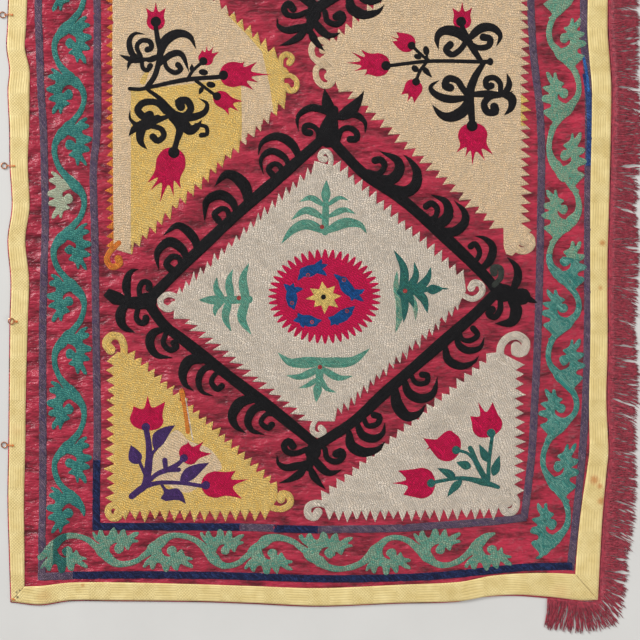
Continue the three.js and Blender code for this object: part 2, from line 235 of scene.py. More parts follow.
def stroke(path: np.ndarray, widths: np.ndarray, round_start: bool = True,
           round_end: bool = True) -> np.ndarray:
    """Give a line a changing width.

    Formula: each side runs half the width away from the smooth middle line, square to it. An end is rounded
    by a half circle on its last width.

    Args:
        path: points of the middle line.
        widths: width at evenly spread places from its start to its end.
        round_start: whether a half circle closes the first end.
        round_end: whether a half circle closes the last end.

    Returns:
        The closed outline.
    """
    middle = smooth_line(path) if len(path) > 2 else even_line(np.asarray(path, float), 1.3)
    along = np.gradient(middle, axis=0)
    along /= np.maximum(np.hypot(*along.T), 1e-9)[:, None]
    across = np.column_stack((-along[:, 1], along[:, 0]))
    half = np.interp(np.linspace(0, 1, len(middle)), np.linspace(0, 1, len(widths)), widths) / 2
    left, right = middle + across * half[:, None], middle - across * half[:, None]
    parts = [left]
    turn = np.linspace(0, np.pi, END_STEPS)[1:-1, None]
    if round_end and half[-1] > ROUNDED_FROM:
        parts.append(middle[-1] + half[-1] * (np.cos(turn) * across[-1] + np.sin(turn) * along[-1]))
    parts.append(right[::-1])
    if round_start and half[0] > ROUNDED_FROM:
        parts.append(middle[0] - half[0] * (np.cos(turn) * across[0] + np.sin(turn) * along[0]))
    return np.vstack(parts)


def crescent(thick: float, *path: tuple[float, float]) -> np.ndarray:
    """Draw a horn: half its thickness at the root, full soon after, and down to a point at the tip.

    Formula: the width at t from root to tip is thick (0.5 + 0.5 sin) up to the middle, times 1 - t^2.6.
    """
    t = np.linspace(0, 1, 25)
    swell = 0.5 + 0.5 * np.sin(np.pi / 2 * np.minimum(t / 0.45, 1))
    return stroke(path, 1.08 * thick * swell * (1 - t**2.6), round_end=False)


def curl(width: float, *path: tuple[float, float]) -> np.ndarray:
    """Draw a curl that ends in a round knob a little wider than its stem."""
    return stroke(path, width * np.array((0.85, 0.9, 0.95, 1.0, 1.08, 1.2)))


def leaf(width: float, base: tuple, tip: tuple, bend: float = 0.0) -> np.ndarray:
    """Draw a pointed leaf whose widest place is a third of the way up, bent by a share of its length."""
    a, b = np.array(base, float), np.array(tip, float)
    along = b - a
    across = np.array((-along[1], along[0])) / np.hypot(*along)
    length = np.hypot(*along)

    def point(t: float, side: float) -> np.ndarray:
        """Return the point at t of the length and side of the half width."""
        return a + along * t + across * (side * width / 2 + bend * length * math.sin(math.pi * t))

    return outline(
        [a, point(0.12, 0.62), point(0.36, 1.0), point(0.7, 0.62), b],
        [b, point(0.7, -0.62), point(0.36, -1.0), point(0.12, -0.62), a],
    )


def tulip(half_width: float, calyx: tuple, *tips: tuple) -> np.ndarray:
    """Draw a tulip: a round cup on its calyx that opens into pointed petals.

    Formula: the cup's sides are set out from the line between the calyx and the middle of the tips, and each
    valley lies between two tips, drawn 45 parts in 100 back towards the cup.
    """
    c, ends = np.array(calyx, float), np.array(tips, float)
    along = ends.mean(0) - c
    length = np.hypot(*along)
    along /= length
    across = np.array((-along[1], along[0]))
    side = 1.0 if (ends[0] - c) @ across > 0 else -1.0

    def cup(t: float, share: float, turn: float) -> np.ndarray:
        """Return a point of the cup at t of its length, share of its half width to one side."""
        return c + along * length * t + across * half_width * share * turn * side

    body = [ends[-1], cup(0.55, 0.92, -1), cup(0.24, 1.02, -1), cup(-0.02, 0.72, -1), cup(-0.13, 0, 1)]
    body += [cup(-0.02, 0.72, 1), cup(0.24, 1.02, 1), cup(0.55, 0.92, 1), ends[0]]
    heart = c + along * length * 0.34
    petals = []
    for first, second in zip(ends[:-1], ends[1:]):
        valley = (first + second) / 2 * 0.55 + heart * 0.45
        petals.append([first, valley * 0.75 + first * 0.25 + 0.06 * (first - second), valley,
                       valley * 0.75 + second * 0.25 + 0.06 * (second - first), second])
    return outline(body, *petals)


def disc(radius: float, centre: tuple, stretch: float = 1.0, turn: float = 0.0) -> np.ndarray:
    """Draw a circle, or an ellipse stretched along the turn in degrees."""
    angle = even_turns(max(8, int(radius * 5)))
    x, y = np.cos(angle) * radius * stretch, np.sin(angle) * radius
    c, s = math.cos(math.radians(turn)), math.sin(math.radians(turn))
    return np.column_stack((centre[0] + x * c - y * s, centre[1] + x * s + y * c))


def toothed(start: tuple, end: tuple, count: int, tip: tuple, chance: np.random.Generator) -> list:
    """Set out a toothed edge from one valley to another.

    Formula: valleys are evenly spread, and each tip stands off the middle of its two valleys by the tip
    vector, lengthened or shortened a little at random as hand work is.

    Args:
        start: the first valley.
        end: the last valley.
        count: how many teeth.
        tip: where a tip stands, seen from the middle of its base.
        chance: source of the unevenness.

    Returns:
        Points from the first valley to the last tip, the last valley left to the next stretch.
    """
    a, b, t = np.array(start, float), np.array(end, float), np.array(tip, float)
    points = []
    for i in range(count):
        low, high = a + (b - a) * i / count, a + (b - a) * (i + 1) / count
        top = (low + high) / 2 + t * chance.uniform(0.82, 1.14) + chance.uniform(-0.7, 0.7, 2)
        foot = low + chance.uniform(-0.5, 0.5, 2) if i else low
        points += [foot, top]
    return points


def half_turn(shape: np.ndarray) -> np.ndarray:
    """Return a shape turned half round about the cloth's middle."""
    return np.array((2 * MIDDLE_X, 2 * MIDDLE_Y)) - shape


def winding(points: np.ndarray, polygon: np.ndarray) -> np.ndarray:
    """Test which points lie inside a polygon.

    Formula: every side that crosses a point's level adds one if it runs up with the point on its left and
    takes one away if it runs down with the point on its right. A point with a sum other than zero is inside.

    Args:
        points: the points, one a row.
        polygon: the corners of the polygon, one a row.

    Returns:
        True for each point inside.
    """
    inside = np.zeros(len(points), bool)
    low, high = polygon.min(0), polygon.max(0)
    near = np.flatnonzero(np.all((points >= low) & (points <= high), axis=1))
    a, b = polygon, np.roll(polygon, -1, 0)
    for chunk in np.array_split(near, max(1, len(near) * len(a) // 4_000_000 + 1)):
        x, y = points[chunk, 0][:, None], points[chunk, 1][:, None]
        left = (b[:, 0] - a[:, 0]) * (y - a[:, 1]) - (x - a[:, 0]) * (b[:, 1] - a[:, 1])
        up = (a[:, 1] <= y) & (b[:, 1] > y) & (left > 0)
        down = (a[:, 1] > y) & (b[:, 1] <= y) & (left < 0)
        inside[chunk] = (up.sum(1) - down.sum(1)) != 0
    return inside


def distance_to_segments(points: np.ndarray, a: np.ndarray, b: np.ndarray) -> np.ndarray:
    """Return each point's distance to the nearest of the segments from a to b, worked out in chunks."""
    out = np.full(len(points), 1.0)
    if not len(a):
        return out
    along = b - a
    length2 = np.maximum((along**2).sum(1), 1e-14)
    for chunk in np.array_split(np.arange(len(points)), max(1, len(points) * len(a) // 3_000_000 + 1)):
        px, py = points[chunk, 0][:, None], points[chunk, 1][:, None]
        t = np.clip(((px - a[:, 0]) * along[:, 0] + (py - a[:, 1]) * along[:, 1]) / length2, 0, 1)
        dx, dy = px - a[:, 0] - t * along[:, 0], py - a[:, 1] - t * along[:, 1]
        out[chunk] = np.sqrt((dx * dx + dy * dy).min(1))
    return out


# The cloth's edges and surface


@dataclass(frozen=True)
class Edge:
    """One edge of the cloth, read along itself from a few rows."""

    rows: tuple

    def read(self, column: int, at: np.ndarray) -> np.ndarray:
        """Read a column of the edge's rows.

        Formula: a cubic between neighbouring rows, whose slope at a row is the slope between the rows on
        both sides of it, so the edge bends without a corner.

        Args:
            column: 1 for the outer edge's place, 2 for the ribbon's width.
            at: places along the edge, in metres.

        Returns:
            The value at each place, in metres.
        """
        table = np.array(self.rows, float) * MM
        place, value = table[:, 0], table[:, column]
        slope = np.empty(len(place))
        slope[1:-1] = (value[2:] - value[:-2]) / (place[2:] - place[:-2])
        slope[0] = (value[1] - value[0]) / (place[1] - place[0])
        slope[-1] = (value[-1] - value[-2]) / (place[-1] - place[-2])
        at = np.clip(at, place[0], place[-1])
        i = np.clip(np.searchsorted(place, at) - 1, 0, len(place) - 2)
        span = place[i + 1] - place[i]
        t = (at - place[i]) / span
        return cubic(t, value[i], value[i + 1], span * slope[i], span * slope[i + 1])


LEFT = Edge(LEFT_EDGE)
RIGHT = Edge(RIGHT_EDGE)
BOTTOM = Edge(BOTTOM_EDGE)
TOP = Edge(tuple((-at, -edge, ribbon) for at, edge, ribbon in reversed(BOTTOM_EDGE)))


def bell(t: np.ndarray) -> np.ndarray:
    """Return the squared cosine hump, one at zero and nothing beyond one."""
    return np.where(np.abs(t) < 1, np.cos(np.pi / 2 * np.clip(t, -1, 1)) ** 2, 0.0)


def rounded(reach: np.ndarray) -> np.ndarray:
    """Return the height of a quarter circle at shares of its reach, one from its end on."""
    return np.sqrt(1 - (1 - np.clip(reach, 0, 1)) ** 2)


def smoothstep(value: np.ndarray, low: float, high: float) -> np.ndarray:
    """Return the ramp 3t^2 - 2t^3 from nothing at low to one at high."""
    t = np.clip((value - low) / (high - low), 0, 1)
    return t * t * (3 - 2 * t)


@dataclass
class ClothRelief:
    """The height of the satin's top over the whole cloth, as a raster read between its cells."""

    cell: float = 3.0 * MM
    reach_x: float = 0.80
    reach_y: float = 1.36
    pucker_rise: float = 2.5 * MM
    stitched_rise: float = 0.30 * MM
    fold_gain: float = 1.3
    fine: tuple = (16 * MM, 0.42, 0.30)
    broad: tuple = (44 * MM, 0.45, 0.55)
    lowest: float = -1.3 * MM
    height: np.ndarray = field(init=False, default=None)

    def build(self, stitched: list[np.ndarray]) -> None:
        """Work out the raster.

        Formula: base thickness, plus the broad folds (each a squared-cosine hump along and across its own
        line), plus puckers. Puckers are random noise kept to a band of wavelengths, strong on bare satin and
        weak where a blurred map of the stitched shapes is dense. Both fade out towards the ribbon.

        Args:
            stitched: the outlines of the large stitched shapes, in metres.
        """
        xs = np.arange(-self.reach_x, self.reach_x, self.cell)
        ys = np.arange(-self.reach_y, self.reach_y, self.cell)
        x, y = np.meshgrid(xs, ys)
        inside = np.minimum(x - LEFT.read(1, y) - LEFT.read(2, y), RIGHT.read(1, y) - RIGHT.read(2, y) - x)
        inside = np.minimum(inside, y - BOTTOM.read(1, x) - BOTTOM.read(2, x))
        inside = np.minimum(inside, TOP.read(1, x) - TOP.read(2, x) - y)
        fade = smoothstep(inside, 0.0, FOLD_FADE)
        folds = np.zeros_like(x)
        for fold_x, fold_y, turn, length, width, rise in FOLDS:
            c, s = math.cos(math.radians(turn)), math.sin(math.radians(turn))
            dx, dy = x - fold_x * MM, y - fold_y * MM
            along, across = dx * c + dy * s, dy * c - dx * s
            hump = bell(along / (length * MM / 2)) * bell(across / (width * MM / 2))
            folds += self.fold_gain * rise * MM * hump
        cells = np.column_stack((x.ravel(), y.ravel()))
        cover = np.zeros(len(cells), bool)
        for shape in stitched:
            cover |= winding(cells, shape)
        cover = self.blurred(cover.reshape(x.shape).astype(float), 2.2)
        chance = np.random.default_rng(SEED)
        fine = self.band_noise(x.shape, chance, *self.fine)
        broad = self.band_noise(x.shape, chance, *self.broad)
        rise = self.pucker_rise * (1 - cover) + self.stitched_rise * cover
        near_ribbon = smoothstep(inside, -8 * MM, 14 * MM)
        puckers = (0.36 * fine + 0.5 * broad) * rise * near_ribbon
        self.height = CLOTH_TOP + np.maximum(folds * fade + puckers, self.lowest)

    def blurred(self, image: np.ndarray, cells: float) -> np.ndarray:
        """Blur a raster with a round bell of so many cells, by its spectrum."""
        fy, fx = np.fft.fftfreq(image.shape[0])[:, None], np.fft.rfftfreq(image.shape[1])[None, :]
        keep = np.exp(-2 * (math.pi * cells) ** 2 * (fx**2 + fy**2))
        return np.fft.irfft2(np.fft.rfft2(image) * keep, image.shape)

    def band_noise(self, shape: tuple, chance: np.random.Generator, wave: float, spread: float,
                   stretch: float) -> np.ndarray:
        """Make random creases of about one wavelength.

        Formula: white noise whose spectrum is kept near one over the wavelength, with frequencies along x
        counted as larger than they are, so the creases run longer sideways than they are wide.

        Args:
            shape: rows and columns of the raster.
            chance: source of the noise.
            wave: wavelength in metres.
            spread: how wide the band is, as a share of its middle.
            stretch: below one, creases run sideways.

        Returns:
            Noise with a spread of one.
        """
        fy = np.fft.fftfreq(shape[0], self.cell)[:, None] * stretch**0.5
        fx = np.fft.rfftfreq(shape[1], self.cell)[None, :] / stretch**0.5
        size = np.hypot(fx, fy) * wave
        keep = np.exp(-((size - 1) / spread) ** 2)
        noise = np.fft.irfft2(np.fft.rfft2(chance.standard_normal(shape)) * keep, shape)
        return noise / noise.std()

    def at(self, points: np.ndarray) -> np.ndarray:
        """Read the height at points, by the weighted mean of the four cells around each."""
        gx = np.clip((points[:, 0] + self.reach_x) / self.cell, 0, self.height.shape[1] - 1.001)
        gy = np.clip((points[:, 1] + self.reach_y) / self.cell, 0, self.height.shape[0] - 1.001)
        i, j = gx.astype(int), gy.astype(int)
        u, v = gx - i, gy - j
        h = self.height
        return ((h[j, i] * (1 - u) + h[j, i + 1] * u) * (1 - v)
                + (h[j + 1, i] * (1 - u) + h[j + 1, i + 1] * u) * v)


# Meshes


def make_piece(name: str, points: np.ndarray, faces: list[np.ndarray], look: Material,
               uv: np.ndarray | None = None, colours: dict | None = None) -> Piece:
    """Put a mesh into the scene, riding on the cloth.

    Args:
        name: the piece's name.
        points: vertices in metres, one a row.
        faces: arrays of faces, each array with one number of corners.
        look: the material.
        uv: one pair for each face corner, in the order of the faces.
        colours: by attribute name, one linear colour for each face corner.

    Returns:
        The new object.
    """
    mesh = bpy.data.meshes.new(name)
    loops = np.concatenate([f.ravel() for f in faces]).astype(np.int32)
    sizes = np.concatenate([np.full(len(f), f.shape[1]) for f in faces])
    starts = np.concatenate(((0,), np.cumsum(sizes)[:-1])).astype(np.int32)
    mesh.vertices.add(len(points))
    mesh.vertices.foreach_set("co", np.asarray(points, np.float32).ravel())
    mesh.loops.add(len(loops))
    mesh.loops.foreach_set("vertex_index", loops)
    mesh.polygons.add(len(sizes))
    mesh.polygons.foreach_set("loop_start", starts)
    mesh.update(calc_edges=True)
    mesh.polygons.foreach_set("use_smooth", np.ones(len(sizes), bool))
    if uv is not None:
        layer = mesh.uv_layers.new(name="rows")
        layer.data.foreach_set("uv", np.asarray(uv, np.float32).ravel())
    for key, values in (colours or {}).items():
        attribute = mesh.attributes.new(key, "FLOAT_COLOR", "CORNER")
        attribute.data.foreach_set("color", np.asarray(values, np.float32).ravel())
    mesh.materials.append(look)
    piece = bpy.data.objects.new(name, mesh)
    bpy.context.scene.collection.objects.link(piece)
    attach(piece, "root")
    LOG.info("%s: %d faces", name, len(sizes))
    return piece


def grid_faces(rows: int, columns: int, first: int = 0, closed: bool = False) -> np.ndarray:
    """Return the quads of a grid of rows by columns vertices, closed round its columns if asked."""
    r = np.arange(rows - 1)[:, None]
    c = np.arange(columns if closed else columns - 1)[None, :]
    d = (c + 1) % columns
    quads = np.stack((r * columns + c, r * columns + d, (r + 1) * columns + d, (r + 1) * columns + c), -1)
    return quads.reshape(-1, 4) + first


def rim_of_grid(rows: int, columns: int) -> np.ndarray:
    """Return the vertices round the edge of a grid, anticlockwise from its first vertex."""
    bottom = np.arange(columns)
    right = np.arange(1, rows) * columns + columns - 1
    top = (rows - 1) * columns + np.arange(columns - 2, -1, -1)
    left = np.arange(rows - 2, 0, -1) * columns
    return np.concatenate((bottom, right, top, left))


def closed_sheet(top: np.ndarray, rows: int, columns: int, floor: float,
                 ends: int = 1) -> tuple[np.ndarray, list[np.ndarray]]:
    """Close a grid of heights with an upright rim and a flat underside.

    Args:
        top: the grid's points, row after row.
        rows: how many rows.
        columns: how many points in a row.
        floor: height of the underside.
        ends: how many rows the underside's first and last face span, more where the ends are curved.

    Returns:
        All points, and the faces as arrays.
    """
    rim = rim_of_grid(rows, columns)
    under = top[rim].copy()
    under[:, 2] = floor
    low = len(top) + np.arange(len(rim))
    side = np.stack((low, np.roll(low, -1), np.roll(rim, -1), rim), -1)
    far = rows - 1
    left = low[np.concatenate(((0,), len(rim) - np.arange(1, far), (2 * columns + rows - 3,)))]
    right = low[columns - 1 + np.arange(rows)]
    middle = np.stack((left[ends:-ends - 1], left[ends + 1:-ends], right[ends + 1:-ends],
                       right[ends:-ends - 1]), -1)
    near_end = np.concatenate((left[:ends + 1], right[ends:0:-1], low[columns - 1:0:-1]))[None, :]
    far_row = low[columns + rows - 2: 2 * columns + rows - 2][::-1]
    far_end = np.concatenate((left[-ends - 1:-1], far_row, right[-2:-2 - ends:-1]))[None, :]
    return np.vstack((top, under)), [grid_faces(rows, columns), side, middle, near_end, far_end]


# Materials


@dataclass
class Bench:
    """A material being put together: adds nodes and joins them in one call."""

    name: str
    material: Material = field(init=False)

    def __post_init__(self) -> None:
        """Start the material with its output only."""
        self.material = bpy.data.materials.new(self.name)
        self.material.use_nodes = True
        self.material.node_tree.nodes.clear()

    def add(self, kind: str, settings: dict | None = None, **inputs: object) -> bpy.types.Node:
        """Add a node.

        Args:
            kind: the node's type without its common beginning.
            settings: values set on the node itself.
            inputs: values or outputs for its sockets, by name with _ for a space, or by number as n0, n1.

        Returns:
            The node.
        """
        node = self.material.node_tree.nodes.new("ShaderNode" + kind)
        for key, value in (settings or {}).items():
            setattr(node, key, value)
        for key, value in inputs.items():
            number = key[1:].isdigit() and key[0] == "n"
            socket = node.inputs[int(key[1:])] if number else node.inputs[key.replace("_", " ")]
            if isinstance(value, Socket):
                self.material.node_tree.links.new(value, socket)
            else:
                socket.default_value = value
        return node

    def plus(self, first: object, second: object) -> Socket:
        """Add two values."""
        return self.math("ADD", first, second)

    def less(self, first: object, second: object) -> Socket:
        """Take the second value from the first."""
        return self.math("SUBTRACT", first, second)

    def times(self, first: object, second: object) -> Socket:
        """Multiply two values."""
        return self.math("MULTIPLY", first, second)

    def math(self, operation: str, *values: object) -> Socket:
        """Add a Math node and return its output."""
        inputs = {f"n{i}": value for i, value in enumerate(values)}
        return self.add("Math", {"operation": operation}, **inputs).outputs[0]

    def mix(self, factor: object, first: object, second: object, blend: str = "MIX") -> Socket:
        """Mix two colours and return the result."""
        node = self.add("MixRGB", {"blend_type": blend}, Fac=factor, Color1=first, Color2=second)
        return node.outputs[0]

    def noise(self, vector: object, scale: float, detail: float = 3.0, rough: float = 0.55) -> object:
        """Add noise and return its value."""
        node = self.add("TexNoise", None, Vector=vector, Scale=scale, Detail=detail, Roughness=rough)
        return node.outputs[0]

    def ramp(self, value: object, *stops: tuple) -> Socket:
        """Turn a value into a colour by stops of place and colour."""
        node = self.add("ValToRGB", None, Fac=value)
        elements = node.color_ramp.elements
        while len(elements) < len(stops):
            elements.new(0.5)
        for element, (place, colour) in zip(elements, stops):
            element.position = place
            element.color = colour if len(colour) == 4 else (*colour, 1.0)
        return node.outputs[0]

    def stretched(self, source: object, scale: tuple) -> Socket:
        """Scale coordinates by different amounts along their axes."""
        return self.add("Mapping", None, Vector=source, Scale=scale).outputs[0]

    def coordinates(self, name: str) -> Socket:
        """Return one output of the Texture Coordinate node."""
        return self.add("TexCoord").outputs[name]

    def finish(self, **inputs: object) -> Material:
        """Add the shader and the output, and return the material."""
        shader = self.add("BsdfPrincipled", None, **inputs)
        output = self.add("OutputMaterial")
        self.material.node_tree.links.new(shader.outputs[0], output.inputs[0])
        return self.material

    def bump(self, height: object, distance: float, strength: float = 1.0, normal: object = None) -> object:
        """Add a bump and return its normal."""
        inputs = {"Height": height, "Distance": distance, "Strength": strength}
        if normal is not None:
            inputs["Normal"] = normal
        return self.add("Bump", None, **inputs).outputs[0]


@dataclass(frozen=True)
class SatinFinish:
    """Red satin: smooth floats of thread that shine across the cloth, with fine crinkles and a fine weave,
    its creases lit and shaded by painted light in the colour.
    """

    # The satin's red in painted shade and in painted light, mixed by the creases below
    deep: tuple = (86, 5, 22)
    bright: tuple = (156, 30, 54)
    roughness: float = 0.34
    creases: tuple = (13.0, 32.0, 10.0)
    crinkles: tuple = (40.0, 150.0, 50.0)
    threads: tuple = (500.0, 2600.0, 500.0)
    crease_depth: float = 20 * MM
    crinkle_depth: float = 3.4 * MM
    weave_depth: float = 0.12 * MM

    def material(self) -> Material:
        """Build the satin: sideways creases as bump and as painted shade and painted highlight between two
        reds, a fine weave, a sideways gloss.
        """
        b = Bench("red_satin")
        place = b.coordinates("Object")
        crease = b.noise(b.stretched(place, self.creases), 1.0, 4.0, 0.56)
        crinkle = b.noise(b.stretched(place, self.crinkles), 1.0, 4.0, 0.6)
        share = b.plus(b.times(crease, 0.66), b.times(crinkle, 0.34))
        # The crease noise paints the colour: painted shade in the valleys, painted highlight on the crests
        colour = b.ramp(share, (0.39, dye(self.deep)), (0.54, dye(self.bright)))
        fade = b.ramp(b.noise(place, 2.2, 2.0), (0.35, (0.86, 0.84, 0.84)), (0.7, (1.08, 1.1, 1.08)))
        colour = b.mix(1.0, colour, fade, "MULTIPLY")
        weave = b.noise(b.stretched(place, self.threads), 1.0, 1.0)
        normal = b.bump(crease, self.crease_depth, 0.9)
        normal = b.bump(crinkle, self.crinkle_depth, 0.9, normal)
        normal = b.bump(weave, self.weave_depth, 0.5, normal)
        return b.finish(Base_Color=colour, Roughness=self.roughness, Anisotropic=0.45, Sheen_Weight=0.03,
                        Sheen_Roughness=0.4, Specular_IOR_Level=0.34, Normal=normal)


@dataclass(frozen=True)
class StitchFinish:
    """Chain-stitched yarn: its colour comes from the piece, its rows and stitches from the UV map."""

    row: float = 3.2 * MM
    stitch: float = 5.4 * MM
    roughness: float = 0.74
    unevenness: float = 0.62
    wander: float = 9.0
    depth: float = 1.6 * MM

    def material(self) -> Material:
        """Build the yarn: each stitch a domed cell in its row, with painted shade in the gaps between and on
        the cells' edges, two dyes, soft sheen.
        """
        b = Bench("stitched_yarn")
        rows = b.coordinates("UV")
        place = b.coordinates("Object")
        yarn = b.add("Attribute", {"attribute_name": "yarn"}).outputs["Color"]
        darker = b.add("Attribute", {"attribute_name": "darker"}).outputs["Color"]
        wander = b.times(b.less(b.noise(place, 16.0, 3.0), 0.5), self.wander * self.row)
        bent = b.add("VectorMath", {"operation": "ADD"}, n0=rows, n1=wander).outputs[0]
        laid = b.stretched(bent, (1 / self.stitch, 1 / self.row, 1.0))
        cell, tone = (b.add("TexVoronoi", {"voronoi_dimensions": "2D", "feature": feature}, Vector=laid,
                            Scale=1.0, Randomness=self.unevenness) for feature in ("DISTANCE_TO_EDGE", "F1"))
        red = b.add("SeparateColor", None, Color=tone.outputs["Color"]).outputs[0]
        # Each stitch dark at its edge and light in its middle: painted shade in the gaps between stitches,
        # also used as bump
        dome = b.ramp(cell.outputs["Distance"], (0.0, (0, 0, 0)), (0.15, (0.7,) * 3), (0.38, (1, 1, 1)))
        streak = b.noise(b.stretched(rows, (60.0, 420.0, 1.0)), 1.0, 3.0, 0.7)
        batch = b.noise(place, 46.0, 5.0, 0.72)
        share = b.plus(b.times(streak, 0.55), b.times(batch, 0.45))
        share = b.plus(share, b.times(b.less(red, 0.5), 0.34))
        colour = b.mix(b.ramp(share, (0.36, (0, 0, 0)), (0.66, (1, 1, 1))), yarn, darker)
        grain = b.noise(place, 520.0, 2.0, 0.6)
        # Brightness of the yarn: painted shade from the dome, with random tone from the cells and the grain
        bright = b.plus(0.42, b.times(dome, 0.66))
        bright = b.plus(bright, b.times(b.less(red, 0.5), 0.34))
        bright = b.plus(bright, b.times(b.less(grain, 0.5), 0.30))
        painted_shade_and_tone_grey = b.add("CombineColor", None, Red=bright, Green=bright, Blue=bright).outputs[0]
        colour = b.mix(1.0, colour, painted_shade_and_tone_grey, "MULTIPLY")
        height = b.plus(dome, b.times(grain, 0.25))
        height = b.plus(height, b.times(streak, 0.5))
        normal = b.bump(height, self.depth, 1.0)
        return b.finish(Base_Color=colour, Roughness=self.roughness, Sheen_Weight=0.02, Sheen_Roughness=0.5,
                        Specular_IOR_Level=0.14, Normal=normal)


@dataclass(frozen=True)
class RibbonFinish:
    """Pale yellow ribbed ribbon, quilted by machine, with rust and dirt where the photograph shows them."""

    light: tuple = (216, 196, 137)
    dark: tuple = (195, 171, 108)
    rust: tuple = (172, 106, 42)
    dirt: tuple = (70, 58, 40)
    quilt: float = 105 * MM
    line_pitch: float = 7.5 * MM
    rib_pitch: float = 1.6 * MM
    depth: float = 1.0 * MM

    def material(self) -> Material:
        """Build the ribbon: ribs and quilting from its UV map, painted shade along the quilting lines, stains
        at named places of the cloth.
        """
        b = Bench("yellow_ribbon")
        place = b.coordinates("Object")
        split = b.add("SeparateXYZ", None, Vector=b.coordinates("UV"))
        along, across = split.outputs[0], split.outputs[1]
        tone = b.noise(b.stretched(place, (30.0, 30.0, 30.0)), 1.0, 4.0)
        colour = b.mix(b.ramp(tone, (0.3, (0, 0, 0)), (0.7, (1, 1, 1))), dye(self.dark),
                       dye(self.light))
        rise = b.times(b.plus(along, across), 2 * math.pi / self.line_pitch)
        fall = b.times(b.less(along, across), 2 * math.pi / self.line_pitch)
        seam_a = b.math("POWER", b.math("ABSOLUTE", b.math("SINE", b.times(rise, 0.5))), 0.35)
        seam_b = b.math("POWER", b.math("ABSOLUTE", b.math("SINE", b.times(fall, 0.5))), 0.35)
        block = b.math("SINE", b.times(along, 2 * math.pi / self.quilt))
        block = b.math("GREATER_THAN", block, 0.0)
        straight = b.times(across, math.pi / (0.8 * self.line_pitch))
        lines = b.math("POWER", b.math("ABSOLUTE", b.math("SINE", straight)), 0.35)
        crossed = b.math("MINIMUM", seam_a, seam_b)
        quilting = b.add("Mix", None, Factor=block, A=lines, B=crossed).outputs[0]
        ribs = b.math("SINE", b.times(along, 2 * math.pi / self.rib_pitch))
        grain = b.noise(place, 700.0, 2.0)
        # Painted shade: the colour darkens along the quilting lines, where the quilted grooves lie
        stitch = b.ramp(quilting, (0.35, (0.74, 0.70, 0.60)), (0.70, (1, 1, 1)))
        colour = b.mix(1.0, colour, stitch, "MULTIPLY")
        for stain in RIBBON_STAINS:
            centre = on_cloth((stain.x, stain.y))[0]
            shift = b.add("Mapping", {"vector_type": "POINT"}, Vector=place,
                          Location=(-centre[0] / (stain.size * MM), -centre[1] / (stain.size * MM), 0.0),
                          Scale=(1 / (stain.size * MM), 1 / (stain.size * MM), 0.0)).outputs[0]
            reach = b.add("VectorMath", {"operation": "LENGTH"}, Vector=shift).outputs["Value"]
            ragged = b.plus(reach, b.times(b.less(grain, 0.5), 1.4))
            amount = b.ramp(ragged, (0.35, (stain.strength,) * 3), (1.0, (0, 0, 0)))
            stained = self.rust if stain.rusty else self.dirt
            colour = b.mix(amount, colour, dye(stained))
        height = b.plus(quilting, b.times(ribs, 0.10))
        height = b.plus(height, b.times(grain, 0.25))
        normal = b.bump(height, self.depth, 0.8)
        return b.finish(Base_Color=colour, Roughness=0.62, Sheen_Weight=0.15, Sheen_Roughness=0.5,
                        Specular_IOR_Level=0.4, Normal=normal)


@dataclass(frozen=True)
class Stain:
    """A spot on the ribbon, placed in drawing steps, with its size in millimetres."""

    x: float
    y: float
    size: float
    strength: float
    rusty: bool


RIBBON_STAINS = (
    Stain(594, 479.5, 15, 0.8, True), Stain(599.5, 486, 9, 0.75, True), Stain(601, 501, 12, 0.7, True),
    Stain(602, 243, 9, 0.75, True), Stain(600, 288, 7, 0.55, True), Stain(45, 596, 24, 0.22, True),
    Stain(83, 585, 6, 0.6, True), Stain(18, 597, 4.5, 0.9, False), Stain(17, 592, 3.5, 0.8, False),
    Stain(20, 590, 3.5, 0.8, False), Stain(560, 593, 30, 0.25, True), Stain(16, 430, 20, 0.18, True),
)


@dataclass(frozen=True)
class ThreadFinish:
    """Twisted thread, its colour changed along and between the threads."""

    name: str
    dark: tuple
    light: tuple
    roughness: float = 0.5
    twist_pitch: float = 2.2 * MM
    depth: float = 0.3 * MM

    def material(self) -> Material:
        """Build the thread: twist from its UV map as bump, two tones by noise over the whole piece."""
        b = Bench(self.name)
        place = b.coordinates("Object")
        split = b.add("SeparateXYZ", None, Vector=b.coordinates("UV"))
        tone = b.noise(place, 160.0, 4.0, 0.65)
        tone = b.ramp(tone, (0.3, (0, 0, 0)), (0.68, (1, 1, 1)))
        colour = b.mix(tone, dye(self.dark), dye(self.light))
        twist = b.plus(b.times(split.outputs[0], 2 * math.pi / self.twist_pitch),
                       b.times(split.outputs[1], 2 * math.pi))
        normal = b.bump(b.math("SINE", twist), self.depth, 0.7)
        return b.finish(Base_Color=colour, Roughness=self.roughness, Sheen_Weight=0.06, Sheen_Roughness=0.4,
                        Normal=normal)


@dataclass(frozen=True)
class CopperFinish:
    """Dull copper wire with darker oxide in patches."""

    metal: tuple = (196, 128, 88)
    oxide: tuple = (104, 58, 38)

    def material(self) -> Material:
        """Build the copper: metal and oxide mixed by noise, rougher where it is oxidised."""
        b = Bench("copper_wire")
        place = b.coordinates("Object")
        spots = b.ramp(b.noise(place, 260.0, 4.0, 0.6), (0.42, (0, 0, 0)), (0.62, (1, 1, 1)))
        colour = b.mix(spots, dye(self.metal), dye(self.oxide))
        rough = b.plus(b.times(spots, 0.3), 0.28)
        normal = b.bump(b.noise(place, 900.0, 3.0), 0.0001, 0.6)
        return b.finish(Base_Color=colour, Metallic=0.9, Roughness=rough, Normal=normal)


# Stitched pieces


@dataclass(frozen=True)
class Motif:
    """A stitched shape: its outline in drawing steps, its yarn, and the turn of its rows in degrees.

    A shape later in a list covers the ones before it. Rows follow the outline where turn is None. A shape
    marked within only recolours what is stitched before it.
    """

    shape: np.ndarray
    yarn: Yarn
    turn: float | None = None
    within: bool = False


